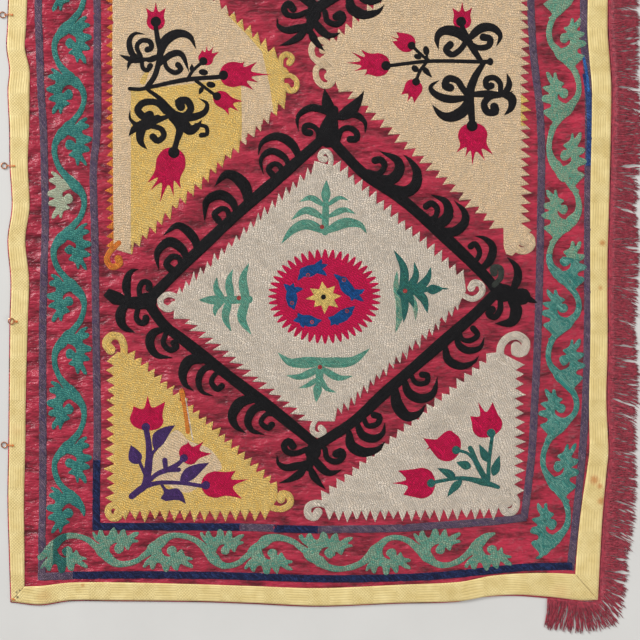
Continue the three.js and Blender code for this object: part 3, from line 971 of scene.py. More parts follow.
@dataclass
class StitchedPatch:
    """A closed, slightly raised skin of stitching made of motifs that lie flush beside each other."""

    name: str
    motifs: list[Motif]
    spacing: float = 8.0 * MM
    edge: float = 1.5 * MM
    under: float = 0.5 * MM

    def build(self, relief: ClothRelief, look: Material) -> Piece:
        """Build the piece.

        Formula: all outlines are triangulated together with rings of points beside them and a field of points
        inside. A triangle takes the yarn of the last motif that holds its middle. A vertex stands on satin
        by its yarn's lift times a quarter circle of its distance from the free edge, with a shallow groove
        where two yarns meet. A copy of the triangles just under the satin and a rim close the piece.

        Args:
            relief: the satin's surface.
            look: the stitching's material.

        Returns:
            The piece.
        """
        shapes = [on_cloth(m.shape) for m in self.motifs]
        points, triangles = self.triangulated(shapes)
        middles = points[triangles].mean(1)
        zone = np.full(len(triangles), -1)
        for number, shape in enumerate(shapes):
            held = winding(middles, shape)
            zone[held & (zone >= 0) if self.motifs[number].within else held] = number
        area = np.cross(points[triangles[:, 1]] - points[triangles[:, 0]],
                        points[triangles[:, 2]] - points[triangles[:, 0]])
        keep = (zone >= 0) & (np.abs(area) > 1e-9)
        triangles, zone, area = triangles[keep], zone[keep], area[keep]
        triangles[area < 0] = triangles[area < 0][:, ::-1]
        used, triangles = np.unique(triangles, return_inverse=True)
        triangles = triangles.reshape(-1, 3)
        points = points[used]
        yarn = np.array([list(Yarn).index(m.yarn) for m in self.motifs])[zone]
        rim, seam = self.borders(triangles, yarn)
        to_rim = distance_to_segments(points, points[rim[:, 0]], points[rim[:, 1]])
        to_seam = distance_to_segments(points, points[seam[:, 0]], points[seam[:, 1]])
        lifts = np.array([y.lift for y in Yarn])[yarn]
        lift = np.zeros(len(points))
        for corner in range(3):
            np.maximum.at(lift, triangles[:, corner], lifts)
        swell = rounded(to_rim / self.edge)
        groove = rounded(to_seam / self.edge)
        ground = relief.at(points)
        height = ground + lift * (0.35 + 0.65 * swell) * (0.62 + 0.38 * groove)
        top = np.column_stack((points, height))
        bottom = np.column_stack((points, ground - self.under))
        count = len(points)
        side = np.stack((rim[:, 0] + count, rim[:, 1] + count, rim[:, 1], rim[:, 0]), -1)
        inner = np.minimum(to_rim, to_seam)
        uv_top = self.row_coordinates(points, triangles, zone, inner)
        uv_side = np.repeat(points[rim[:, 0]], 4, axis=0)
        uv = np.vstack((uv_top, uv_top, uv_side))
        colours = {}
        for key, table in (("yarn", [y.linear for y in Yarn]), ("darker", [y.darker for y in Yarn])):
            colour = np.array(table)[yarn]
            corner_colour = np.repeat(colour, 3, axis=0)
            rim_yarn = np.repeat(self.rim_colours(triangles, rim, colour), 4, axis=0)
            colours[key] = np.vstack((corner_colour, corner_colour, rim_yarn))
        faces = [triangles, triangles[:, ::-1] + count, side]
        return make_piece(self.name, np.vstack((top, bottom)), faces, look, uv, colours)

    def triangulated(self, shapes: list[np.ndarray]) -> tuple[np.ndarray, np.ndarray]:
        """Triangulate all outlines with rings of points beside them and a field of points between them."""
        vertices, edges = [], []
        count = 0
        rings = []
        for shape in shapes:
            n = len(shape)
            vertices.append(shape)
            index = count + np.arange(n)
            edges.append(np.column_stack((index, np.roll(index, -1))))
            count += n
            along = np.roll(shape, -1, 0) - np.roll(shape, 1, 0)
            along /= np.maximum(np.hypot(*along.T), 1e-12)[:, None]
            across = np.column_stack((-along[:, 1], along[:, 0])) * self.edge
            rings += [shape + across, shape - across]
        lined = np.vstack(vertices)
        low, high = lined.min(0), lined.max(0)
        gx, gy = np.meshgrid(np.arange(low[0], high[0], self.spacing),
                             np.arange(low[1], high[1], self.spacing * 0.87))
        gx = gx + (np.arange(len(gx))[:, None] % 2) * self.spacing / 2
        free = np.vstack([np.column_stack((gx.ravel(), gy.ravel()))] + rings)
        inside = np.zeros(len(free), bool)
        for shape in shapes:
            if len(shape) > 3:
                inside |= winding(free, shape)
        free = free[inside]
        cells = np.round(free / (0.275 * self.spacing)).astype(np.int64)
        kept = np.unique(cells[::-1], axis=0, return_index=True)[1]
        free = free[::-1][kept]
        codes = [np.round(p / (0.9 * MM)).astype(np.int64) @ (100003, 1) for p in (lined, free)]
        free = free[~np.isin(codes[1], codes[0])]
        everything = np.vstack((lined, free))
        result = delaunay_2d_cdt([mathutils.Vector(p) for p in everything.tolist()],
                                 np.vstack(edges).tolist(), [], 0, 1e-6, False)
        out = np.array([(v.x, v.y) for v in result[0]])
        return out, np.array(result[2])

    def borders(self, triangles: np.ndarray, yarn: np.ndarray) -> tuple[np.ndarray, np.ndarray]:
        """Find the free edges, each along its triangle's turn, and the edges where two yarns meet."""
        directed = np.vstack((triangles[:, (0, 1)], triangles[:, (1, 2)], triangles[:, (2, 0)]))
        owner = np.tile(np.arange(len(triangles)), 3)
        key = np.sort(directed, axis=1)
        code = key[:, 0].astype(np.int64) * (triangles.max() + 1) + key[:, 1]
        order = np.argsort(code, kind="stable")
        same = code[order][1:] == code[order][:-1]
        paired = np.zeros(len(code), bool)
        first, second = order[:-1][same], order[1:][same]
        paired[first] = True
        paired[second] = True
        differ = yarn[owner[first]] != yarn[owner[second]]
        return directed[~paired], directed[first[differ]]

    def rim_colours(self, triangles: np.ndarray, rim: np.ndarray, colour: np.ndarray) -> np.ndarray:
        """Return the colour of each rim edge, taken from a triangle at its first vertex."""
        at_vertex = np.zeros((triangles.max() + 1, 4))
        for corner in range(3):
            at_vertex[triangles[:, corner]] = colour
        return at_vertex[rim[:, 0]]

    def row_coordinates(self, points: np.ndarray, triangles: np.ndarray, zone: np.ndarray,
                        inner: np.ndarray) -> np.ndarray:
        """Return for each face corner its place along and across the rows of stitches.

        Formula: straight rows turn the plane by the motif's angle. Rows that follow an outline take the
        distance from it as the place across, and the sum of x and y as the place along.
        """
        turns = np.array([np.nan if m.turn is None else m.turn for m in self.motifs])[zone]
        turn = np.radians(np.repeat(turns, 3))
        corner = triangles.ravel()
        x, y = points[corner, 0], points[corner, 1]
        along, across = x * np.cos(turn) + y * np.sin(turn), y * np.cos(turn) - x * np.sin(turn)
        follow = np.isnan(turn)
        along[follow] = (x + y)[follow]
        across[follow] = inner[corner][follow]
        return np.column_stack((along, across))


# The motifs, set out in drawing steps

# Distance between the points that are added on the sides of a toothed field and of a recolouring patch
FIELD_SPACING = 4.0
PATCH_SPACING = 8.0


def pairs(numbers: str) -> np.ndarray:
    """Read points from a row of numbers, x and y in turn."""
    return np.array(numbers.split(), float).reshape(-1, 2)


def band(width: float, *path: np.ndarray) -> np.ndarray:
    """Draw a narrow band along a path, with square ends."""
    return stroke(path, (width, width), False, False)


SHAPES = {"horn": crescent, "curl": curl, "leaf": leaf, "tulip": tulip, "disc": disc, "band": band}


def drawn(table: str, gain: float = 1.0) -> list[Motif]:
    """Read motifs from a table, one a line, in the order of stitching.

    A line that starts with a yarn's name sets the yarn of the lines below it, and the turn of its rows if a
    number follows. Every other line is a kind of shape, its size, its points, and after a slash what else the
    kind takes. The widths of a "line" stand after its slash, and a "form" has a slash between its sections.

    Args:
        table: the lines.
        gain: how many times wider than written the shapes are drawn.

    Returns:
        The motifs.
    """
    motifs, yarn, turn = [], Yarn.BLACK, None
    for line in table.strip().splitlines():
        kind, _, numbers = line.partition(" ")
        first, *others = numbers.split("/")
        if kind in Yarn.__members__:
            yarn, turn = Yarn[kind], float(first) if first else None
            continue
        if kind == "form":
            shape = outline(*map(pairs, (first, *others)))
        elif kind == "line":
            shape = stroke(pairs(first), np.array(others[0].split(), float) * gain)
        else:
            size, points = first.split(maxsplit=1)
            extras = [float(value) for value in "".join(others).split()]
            shape = SHAPES[kind](float(size) * gain, *pairs(points), *extras)
        motifs.append(Motif(shape, yarn, turn))
    return motifs


def toothed_field(points: list, yarn: Yarn, turn: float) -> Motif:
    """Return a panel's toothed field, its rows straight at the turn."""
    return Motif(straight_outline(points, FIELD_SPACING), yarn, turn)


def recoloured(corners: str, yarn: Yarn, turn: float | None = None) -> Motif:
    """Return a patch that only changes the yarn of the stitches that it covers."""
    return Motif(straight_outline(pairs(corners), PATCH_SPACING), yarn, turn, True)


def mirrored(shape: np.ndarray, level: float) -> np.ndarray:
    """Return a shape mirrored about a level of the drawing."""
    return np.column_stack((shape[:, 0], 2 * level - shape[:, 1]))


# The narrow bands on both sides of the vines
BANDS = """
BAND
band 7.6 39 -440 38 -200 38.5 0 39 27 41.5 92 44 140 45.5 229 43 320 43 400 43 500 42 578
band 7.6 97 -375 97 -100 97.5 27 97.5 124 93.5 172 95 237 96 320 97.5 420 97 462
band 7.6 531 -375 530 -120 531.5 27 540.5 124 540.5 220 537.5 340 533.5 420 531 460 524 518
band 7.6 583 -440 585 -150 583.5 27 586.5 60
band 7.6 588 172 587.5 250 587.5 320 585.5 400 581.5 460 575.5 520 570 570
band 7.6 586 56 588 90 588.5 130 588 174
BAND_BLUE
band 5.7 585 74 588.5 100 589.5 130 588.5 166
BRIGHT_BLUE
band 2.6 582.5 55 586 70 588.5 92
NAVY
band 7.6 97 460 96.5 495 96.5 530
band 7.6 93 526.5 170 526.5 242 527
BAND
band 7.6 240 527 276 528
NAVY
band 7.6 274 528.5 320 529.5
BAND
band 7.6 318 529.5 350 529 400 528 450 524.5 500 520.5 526 517
band 7.6 38 576.5 74 575.5
NAVY
band 7.6 73 575 200 575 320 578.5 400 577.5 450 574.5 520 567.5 572 566
band 7.6 93 -382 240 -384 380 -386 535 -383
BAND
band 7.6 36 -434 200 -432 400 -436 588 -434
"""


# One leaf of the vine. Columns: across from the vine's middle line, along it from the leaf's first tip
VINE_LEAF = (
    (6.3, 7.0), (11.0, 2.2), (18.0, -0.9), (19.6, 1.2), (15.9, 4.6), (20.6, 6.2), (22.0, 8.9), (19.6, 10.6),
    (14.8, 12.6), (15.4, 16.0), (22.4, 18.2), (24.4, 21.2), (21.8, 23.8), (15.8, 25.6), (20.4, 28.2),
    (22.8, 31.6), (20.0, 33.2), (14.2, 34.6), (17.8, 40.4), (18.8, 46.2), (16.0, 46.2), (11.6, 41.2),
    (10.6, 45.6), (8.2, 46.0), (5.8, 39.4),
    (-0.8, 36.0), (3.4, 31.6), (-1.8, 30.8), (-4.4, 26.8), (-2.4, 22.6), (1.4, 21.2), (4.6, 23.2),
    (7.0, 25.2),
    (6.8, 21.0), (2.2, 17.4), (-4.0, 16.6), (-9.5, 19.0), (-13.0, 18.0), (-8.0, 8.0), (-2.0, 3.0), (3.0, 3.4),
)
# The vine's stem over one half wave. Columns: along from the leaf's first tip, across, width
VINE_STEM = ((0.0, 5.8, 6.3), (6.4, 0.7, 8.5), (13.5, -5.5, 11.0), (21.0, -11.5, 7.5), (28.5, -13.7, 5.8),
             (37.0, -13.0, 5.4), (45.5, -10.0, 5.7))
FULL_WAVE = 51.5


@dataclass
class Vine:
    """A vine that swings from side to side along a border, with one curled leaf in each bend.

    tips are the places of the leaves' first tips in the order of growth. side is one where the first leaf
    lies on the positive side of the middle line. onward is minus one for a vine that grows up the drawing.
    odd_leaves gives the leaves of another yarn by their number, and lobe moves the first lobe of each leaf.
    """

    yarn: Yarn
    tips: tuple
    side: int
    middle: tuple
    level: bool = False
    onward: int = 1
    swing: float = 1.08
    leaf_width: float = 0.93
    thin_from: float = 25.0
    odd_leaves: dict = field(default_factory=dict)
    lobe: tuple = (0.0, 0.0)

    def placed(self, across: np.ndarray, along: np.ndarray) -> np.ndarray:
        """Return points of the drawing from their place across and along the vine."""
        ats = np.array([row[0] for row in self.middle], float)
        offs = np.array([row[1] for row in self.middle], float)
        line = np.interp(along, ats, offs)
        if self.level:
            return np.column_stack((along, line - across))
        return np.column_stack((line + across, along))

    def motifs(self) -> list[Motif]:
        """Return the leaves and the stem.

        Formula: each half wave is stretched to the distance to the next tip, with its sides changed over. The
        stem is one smooth stroke through all of its rows, which thins out beside the last leaf.
        """
        chance = np.random.default_rng(int(abs(self.tips[0])) % 97 + 5)
        rows, leaves = [], []
        last = len(self.tips) - 1
        turn = 12.0 if self.level else 80.0
        for k, tip in enumerate(self.tips):
            side = self.side * (1 if k % 2 == 0 else -1)
            span = (self.tips[k + 1] - tip if k < last else tip - self.tips[k - 1]) / FULL_WAVE
            for s, a, w in VINE_STEM[:5 if k == last else 7]:
                width = w * chance.uniform(0.92, 1.08) * (0.5 if k == last and s > self.thin_from else 1.0)
                rows.append((side * a * self.swing, tip + s * span, width))
            shape = np.array(VINE_LEAF) * (self.leaf_width, 0.5 * abs(span) + 0.5)
            shape[1:5] += self.lobe
            shape = smooth_line(shape + chance.uniform(-0.5, 0.5, shape.shape), closed=True)
            placed = self.placed(side * shape[:, 0], tip + self.onward * shape[:, 1])
            leaves.append(Motif(placed, self.odd_leaves.get(k, self.yarn), turn))
        table = np.array(rows)
        centre = self.placed(table[:, 0], table[:, 1])
        return leaves + [Motif(stroke(centre, table[:, 2]), self.yarn, turn)]


# The medallion's black frame: its band, with shares of its width, then all that grows from it
FRAME_BAND = """
line 148 300.5 193 256 238 213.5 280 177 325 137 / 1 0.92 1.06 0.96 1.1 1 0.9
line 328 136 345 155 366 175.5 398.5 197 439 232 481 272 499 294 / 1 0.92 1.06 0.96 1.1 1 0.9
line 147 301 163.5 324 186 342 229 376 274.5 411 318 446 / 1 0.92 1.06 0.96 1.1 1 0.9
line 316 446 354 421 390 388 444 341 477.5 311.5 500 288 / 1 0.92 1.06 0.96 1.1 1 0.9
"""
FRAME_FORMS = """
line 328 137 330 125 334 110 / 22 19 13 9
disc 9 503 293 / 1.2
line 503 294 512 296 522 296.5 / 15 8 15 17
leaf 6 525 297.5 537.5 303
form 144 296 128 296.5 119 292 109 288.4 / 109 288.4 106.5 291.5 103.4 295.4 / \
103.4 295.4 108 300 113.2 304.6 / 113.2 304.6 123 305.8 130 308.5 144 309 150 302 144 296
disc 8.5 147 301 / 1.2
disc 8 313 452 / 1
line 313 448 309 468 / 12 7
"""
FRAME_HORNS = """
horn 8 300 160 294 147 285 139 274 136.5 262 143 258 156
horn 6 289 169 285 158 271 151 261 160 263.5 175
horn 10.5 248 204 246 189 237 178 226 175 214.5 187
horn 8.5 236 211 231.5 201 220 195 207 202 204.5 222
horn 8 197 253 195.5 241 186.5 230 176.5 226 163 236
horn 8.5 187 260 182 249 169.5 242 157.5 253 159 271
horn 6.5 333 119 327 112 311 108 298 117 298.5 132
horn 6.5 334 118 346 114.5 357 115.5 365 123 365 134
horn 9.5 374 177 390 180 399 171 396.5 160 379 151
horn 10 386 186 404 192 415 185.5 416.5 172 410 161 402.5 154.5
horn 9.5 424 221 439 223.5 448 215 445 202 430.5 195
horn 8.5 437 230 453 232 464 223.5 464 212 453.5 200.5
horn 7.5 480 270 490 260 492.5 247 484.5 238.5 474 236
horn 7.5 511 292 515 285 518 275 515 265 506.5 257
horn 8 164 329 153 333.5 150 344 157 355 173 357.7
horn 9.5 207 360 191 360 183.5 371 185 383 194.5 391
horn 6 217 367 205 368.5 199 379 202 391 214.5 396
horn 9.5 256 399 241 402 232.5 415 236 426 246.5 433.5
horn 7.5 270 407 255 408.5 248 420.5 252 430 265.5 435
horn 10.5 510 298 516 310 511 322 494.5 323.5
horn 6.5 456 336 459 345 468 350.5 480 347.5 484.5 336.5
horn 7.5 445 346 448 359.5 460 366 473 362.5 479 355.5
horn 8.5 404 380 409 393 421 398.5 433 393 437.5 376.5
horn 10.5 395 389 397 404 406.5 416 418.5 413.5 425 404.5
horn 7.5 357 423 362 434.5 373 438.5 382.5 433.5 385 422
horn 9.5 349 433 351.5 445.5 363.5 452 377 449.5 385.5 441
horn 7 307 462 300 465 286.5 467.5 278.5 463 277 455
horn 7.5 313 455 318 464 329 473 342 469.5
horn 7.5 129 298 126.5 288 128 276.5 132.5 271 139 269
horn 9 128 303 121.5 311 121 321 125.5 328 135.5 332.6
"""
FRAME_CURLS = """
curl 5.6 281 176 280.5 167 274.5 164 268.5 169 272.5 175
curl 6 229 216 227 210 221 209 214.5 214.5 218.5 220.5
curl 6.4 181 264 179 258 172 257 166.5 264 171.5 269.5
curl 5.8 317 143 318.5 133 313 126.5 305.5 126 305 132 310 133
curl 6 338 140 341 131 348 128 356 132 356.5 139 350 139.5
curl 6.2 368 172 378 174 384.5 167 381 160 375 160.5
curl 5.8 424 219 434 218 437 209.5 431.5 203.5 426 206.5
curl 5.4 467 262 476 260 479.5 252 475 244 470.5 246.5
curl 6 140 297 139.5 288 143.5 282 149 283.5 149 288
curl 6 138.5 307 136.5 317 140 322.5 145.5 322 146 318
curl 6 166 333 163.5 343 170 350 176.5 347 174 343
curl 5.4 226 373 217 373 211.5 381.5 217 389 222 386
curl 5.4 277 415 267 414 261 422 268 428 272 424.5
curl 6.4 500 297 500 309 495 317 488.5 314 492 309.5
curl 5.4 459 331 462 339 470 340.5 477.5 335 473 328.5
curl 5.4 410 373 416 383 426 382.5 427.5 375.5 422 374.5
curl 5.8 363 416 367.5 425.5 377 424 379.5 417 374 415
curl 6.4 307 449 297 453 287.5 452 284 445.5 289 441 293 446
curl 6.4 325 449 327.5 458.5 337 461.5 343 456 341 451 336 454
leaf 12.5 332 118 324.5 88.5 / -0.04
leaf 13.5 336 120 364.5 90.5 / 0.1
leaf 8 308 465 278.5 483 / -0.1
leaf 8 309 465 326 489.5 / 0.08
CHARCOAL
curl 6.2 494 285 500.5 277.5 500 268.5 493 268 494 273
"""


@dataclass
class MedallionFrame:
    """The black frame of the medallion: a band round the diamond with horns, curls and corner pieces."""

    width: float = 11.0
    horn: float = 1.2

    def motifs(self) -> list[Motif]:
        """Return the frame's shapes."""
        return (drawn(FRAME_BAND, self.width) + drawn(FRAME_FORMS) + drawn(FRAME_HORNS, self.horn)
                + drawn(FRAME_CURLS))


# The medallion's corner curls, and the sprigs round its star
FIELD_CURLS = """
WHITE
curl 5.6 329 172 331 160 328 152.5 322 152.5 320.5 158 324.5 159.5
curl 6.5 178 297 168 294.5 161 299 162 306 169 309 174 305
curl 6.5 464 296 473 299 481.5 293 481 285 474 283 471 288
curl 5.6 318 417 313 425 313 432 319 435 324 432 321 428
"""
SPRIGS = """
disc 2.6 323.5 297
SPRIG_GREEN
line 325 232 325.5 215 326 192 / 7 7 4.2
horn 10.5 324 231 307 224.5 293 230 281 244
horn 8 322 217 306 210.5 291 220
horn 6.5 323 205 311 198 299 202
horn 10.5 327 231 345 223 360 225 367 234
horn 6.5 330 216 344 210 356 214
horn 5 328 205 339 198 349 200.5
leaf 9.5 325.5 203 326.5 180
line 249 299.5 230 300 212 300 / 8 8 4.8
horn 9.5 247 303 243 280 249 263
horn 8.5 232 301 229 282 233 269
horn 7.5 224 301 216.5 289 217 277
horn 10 247 298 242 318 251.5 335
horn 8.5 230 299 225.5 317 231.5 332
horn 7 224 299 216 308 215 317
leaf 9 222 300 198.5 300
line 320 361 319.5 375 318 388 / 8 8 4.8
horn 11.5 324 361 306 362.5 290 362 277.5 352.5
horn 8 320 368 301 376.5 286 375.5
horn 5.5 319 378 308 385 298.5 388
horn 11 316 361 335 362.5 353 360.5 370.5 348
horn 7.5 321 368 338 377.5 353 376
horn 5.5 320 376 326 388 336.5 392.5
leaf 9 318.5 382 316 402.5
PALE_GREEN
horn 9.5 399 288 400 312 395.5 333
horn 6 410 293 415 307 415.5 321
horn 6 397 300 396 285 397 270
DARK_GREEN
line 400 292 415 291 430 289 / 7 7 4.2
horn 9.5 402 296 404 270 393.5 249.5
horn 8.5 405 294 415.5 277 414 261.5
horn 9 413 293 426.5 280 431 266.5
horn 8 403 290 405 306 403.5 323
horn 7 407 290 411 300 413.5 308
horn 9 413 290 423.5 299 427.5 313.5
leaf 10 426 290 444 288.5
horn 1.8 441 288.5 445 288.7 449 289.2
RUST
disc 2.3 322 227
disc 2.3 239 298
disc 2.3 320 367
disc 2.3 405 291
"""
# Birds round the star: body from breast to tail root, beak tip, three tips of the tail, eye
BIRDS = """
304 272 310 271 317 268 297.5 280.5 322 259 328 264.5 327 276 308 275
343 281 347 288 354 295 333.5 274 365 289 364 301.5 351 301 344 280
348 312 341 317 334 320 355 306 328 317 331 326 339 325 347 311
314 322 307 320.5 301 319 322 320 293 321 298 312.5 304 328 312 322
292 303 291.5 296 291 290 294.5 310 283.5 284 294 283 303.5 289 292 303
"""


def bird(points: np.ndarray) -> list[Motif]:
    """Draw a small bird: a full body that narrows to a forked tail, a beak and a ringed eye."""
    body, beak, tail, eye = points[:3], points[3], points[4:7], points[7]
    shapes = [stroke(body, (9.5, 12.0, 11.0, 8.0)), leaf(5.5, body[0], beak)]
    shapes += [crescent(6.4, body[1] * 0.4 + body[2] * 0.6, (body[2] + tip) / 2, tip) for tip in tail]
    motifs = [Motif(shape, Yarn.BLUE) for shape in shapes]
    return motifs + [Motif(disc(2.0, eye), Yarn.RUST), Motif(disc(0.9, eye), Yarn.BLUE)]


@dataclass
class Medallion:
    """The white diamond with toothed edges, its rosette of birds and its four sprigs."""

    teeth: int = 44
    centre: tuple = (324.5, 296.5)
    half_width: float = 47.0
    half_height: float = 38.0
    tooth: float = 9.5

    def diamond(self) -> np.ndarray:
        """Return the toothed outline of the white field."""
        chance = np.random.default_rng(SEED + 1)
        points = toothed((175, 300), (318, 168.5), 20, (0.5, -10.5), chance)
        points += toothed((333, 166), (463, 282), 18, (4.0, -9.5), chance)
        points += [(466, 291)]
        points += toothed((461, 299.5), (331, 413.5), 20, (0.5, 10.5), chance)
        points += toothed((313, 421), (183, 313), 17, (-12.0, 2.0), chance)
        return straight_outline(points, FIELD_SPACING)

    def rosette(self) -> np.ndarray:
        """Return the rosette's outline: an ellipse whose radius swings once for each rounded tooth."""
        angle = even_turns(self.teeth * 9)
        wave = (0.5 + 0.5 * np.cos(self.teeth * angle + 0.5 * np.sin(angle))) ** 0.55
        x = (self.half_width + self.tooth * wave) * np.cos(angle)
        y = (self.half_height + self.tooth * wave) * np.sin(angle)
        return np.column_stack((self.centre[0] + x, self.centre[1] + y))

    def star(self) -> np.ndarray:
        """Return the star's outline: eight uneven points round the rosette's middle."""
        tips = np.array(((322, 281.5), (335, 286), (341.5, 296), (338, 307.5), (324.5, 314), (314, 307),
                         (305.5, 299), (310, 288.5)))
        middle = np.array(self.centre)
        valleys = middle + ((tips + np.roll(tips, -1, 0)) / 2 - middle) * 0.62
        return straight_outline(np.stack((tips, valleys), 1).reshape(-1, 2), 3.0)

    def motifs(self) -> list[Motif]:
        """Return the field, its corner curls, the rosette and the sprigs."""
        shapes = [Motif(self.diamond(), Yarn.WHITE, 4.0), *drawn(FIELD_CURLS)]
        shapes.append(Motif(self.rosette(), Yarn.CRIMSON, 60.0))
        for row in BIRDS.strip().splitlines():
            shapes += bird(pairs(row))
        return shapes + [Motif(self.star(), Yarn.STAR), *drawn(SPRIGS)]


# What is stitched on the fields of the side panels and of the corner panels
LEFT_BRANCH = """
MUSTARD
curl 5.6 284 76 281 66 281.5 58 287 54.5 292 58.5 289.5 63
curl 5.6 284 76 291 76 296.5 81 296 88.5 290 91 286.5 86.5
MUSTARD 80
line 143 82 145.5 76 148 72 / 6 5 3
CRIMSON
tulip 12.5 224 75 245 60 257.5 62 271.5 75 259 83 254 90.5
tulip 7.5 204 63 202 50 207 45.5 214 46.5 219.5 52
tulip 8 217 96 243 101.5 239 112 229 115.5
tulip 14.5 174 153 147.5 183 150 191 160 203 174 197 181 189
tulip 9 156 28 146 8 156 2 166 8
BLACK
line 130 89 140 89.5 152 87 186 80 221 77 / 4 4 4.4 5 4.6 4.6
disc 4.8 223.5 75.5
disc 3.2 203.5 72.5 / 1.5 10
disc 4.2 203.5 61.5
disc 3.2 211 85 / 1.5 10
disc 4.2 217 96.5
line 187 81 193 71 203 62 / 3.6 3.4 3.4
line 196 81 204 87 216 96 / 3.6 3.4 3.4
leaf 5 192 72 192 64
leaf 5 203 87 199 95
line 147 88 155 76 159 62 161 52 158 40 156 27 156 20 / 5.5 5.6 5.6 6.4 5 4.4
disc 5.2 156 22
line 148 90 160 99 170 112 177 121 180 130 177 141 174 152 / 3.6 4.6 7.5 12 8.5 5.8 6
disc 5.8 174 152.5
horn 6.6 144 60 133 55 129.5 42 135 34 146 34.6
horn 7 146 60 132 60 119.5 55.2
horn 5.5 143 60 131 62 127.5 71
horn 6.5 159 56 150 60 141 58
horn 10.5 159 58 165 42 177.5 34 190 37 196.5 50
horn 7.2 158 66 171 55 182 55 189.5 73
horn 7 170 116 156 121 142 127 131 120 130 109.5
horn 12 158 118 148 124 136 128 128.5 136.5
horn 9.5 147 122 141 132 141 142 147.5 150
horn 8 172 118 190 118 204 113 207 104 198 98
horn 11 182 119 189 130 197 127 202 120
curl 5.2 141 57 137 47 142 41 150 42 151.5 48 147.5 50
curl 4.8 142 60 143 68 147.5 70.5 150.5 66
curl 5 164 58 167 68 175 73 181 69.5 178 65
curl 7.2 166 112 157 103 144 103 138 110 144 117 150 115
curl 6 150 126 161 129 164 136 158 141 153 137
curl 7.4 172 113 184 116 191 109 187 101 179 102 181 107
curl 4.4 196 125 206 127 207 134 201.5 135.5
"""
RIGHT_BRANCH = """
CREAM
curl 6.6 332 63 316 60 311.5 52 313.5 44 320 40.5 327 43.5 327.5 49 323 50
curl 6.6 332 64 318 67 316 76 320.5 84 328 85.5 332 80.5 328 76.5
CRIMSON
tulip 11.5 386 66 361 50 351 52 346 63 354 71.5 364 76.5
tulip 9 412 46 396 32.5 390 36.5 392 41.5
tulip 9 416 83 401 95 407 102.5 414 103.5
tulip 14.5 472 127 456 153 465 157.5 472 166 485 161 493 155
tulip 9 462 27 452 8 462 2 472 8
BLACK
line 491 62 480 62 430 61.5 389 66 / 4.5 4 4 3.8 3.8
disc 4.8 386 66
disc 3.2 490 62 / 1.2 90
disc 3.2 426 51 / 1.5 80
disc 2.8 417.5 57 / 1.4 20
disc 4 411.5 46
disc 3.2 415 69 / 1.3 40
disc 4 416 82
leaf 6 422 67 432 78
line 429 61 421 55 412 46 / 3.4 3.4
line 426 63 420 71 416 81 / 3.4 3.4
line 427 60 426.5 55 426 51 / 2.8 2.8
line 481 62 471 46 465 34 462 27 461 20 / 5 6.4 7.5 5.2 4.6
line 483 64 475 77 470 91 470 102 472 122 / 5 7.5 9 8 6.2
disc 5.6 472 126
disc 5 461 22
horn 11 470 44 458 33 444 31 437 38 438.5 51
horn 9.5 468 40 480 29 492 28 500 36 496 47.5
horn 8.5 467 98 450 99.5 436 95 430.5 87 440 80
horn 12 470 97 464 110 452 117 441 115 431.5 104.5
horn 7.5 469 95 488 94 503 95 514 91
horn 7 503 96 509 85 506.5 73
horn 9.5 500 93 511 98 511 108 503.5 116
curl 6.4 466 42 460 50 452 55 446 50 450 45
curl 6.4 470 44 478 48 488 46.5 490 39.5 483 37.5
curl 7 468 96 462 88 457 81 448 79 445 86 450 88
curl 6 500 95 500 84 494 78 486 80 487 87 491 86
curl 7.2 500 95 490 97 484 104 487 112 495 112 494 107
"""
PURPLE_BRANCH = """
ORANGE 82
line 182 391 186 411 188 432 / 5.5 5.5 4
WHITE
line 186 398 189 418 193 440 / 1.2 1.2
MUSTARD
curl 8 124 360 124 346 120 337 112 336 106.5 343 111 350
curl 7 121 509 113 505 108 510 111 517 118 517 118 513
curl 7 270 507 281 509 290 504 289 496 282 494 281 499
CRIMSON
tulip 16.5 146 427 133.5 406 148 395.5 165.5 401.5
tulip 10.5 184 458 187.5 440.5 204 441 212 453.5
tulip 13 206 485 236 470.5 248.5 479 242 498.5
PURPLE
line 146 427 149 445 148.5 465 145.5 484 138 491 132 496 / 5.6 6 6.6 8 7 6.5
line 146 484 157 474 169 469 178 464 184 458 / 4.5 4.5 5.5 5 4
line 168 470 179 469.5 / 4.5 4.5
line 166 470 165 460 / 4.5 5.5
line 146 486 160 482.5 183 483 204 486 / 5 4.2 4 4.2
line 150 470 152 455 157 448 / 4.5 3.6 3
disc 4.2 146 427
disc 4 184 458
disc 4.2 206 485
leaf 14 154 449 175.5 425 / -0.12
leaf 13 180 482 209.5 462.5 / -0.05
line 145 474 142 467 139 460 / 3.4 3.4
leaf 14 138 464 131 445
form 160 484 164 492 161 498 166 501 / 166 501 178 500 186 503.5 / \
186 503.5 183 494 177 488 168 489 163 484 160 484
"""
GREEN_BRANCH = """
WHITE
curl 8.5 503 366 500 350 506 339 517 335.5 525.5 342 523.5 351 516 352 516 346.5
curl 8 509 492 516 500 514 510 506 512 503 505 508 502
curl 7.5 330 506 318 503 309 506 308 514 314 517 318 512
CRIMSON
tulip 15 490 433 470 416 478 402 492.5 402
tulip 14.5 456 450 423 438 437 427 425 450.5
tulip 15 431 483 398 470.5 392 483 403 494.5
DARK_GREEN
line 488 480 489 460 492 436 / 4.4 3.8 3.8
line 487 482 477 464 472 452 470 448 / 6 6 5.5 5
line 476 462 467 453 456 450 / 3.6 3 3.4
line 498 487 486 483 461 478 434 482 / 4 7 4.4 3.6 3.6
disc 4.4 491 433
disc 4.2 456 450
disc 4.2 431 483
leaf 9 493 476 499.5 455
leaf 8.5 488 462 479 444
leaf 9 471 467 456 462
leaf 8.5 456 479 437 468 / 0.05
leaf 8 462 480 447 497 / 0.05
"""


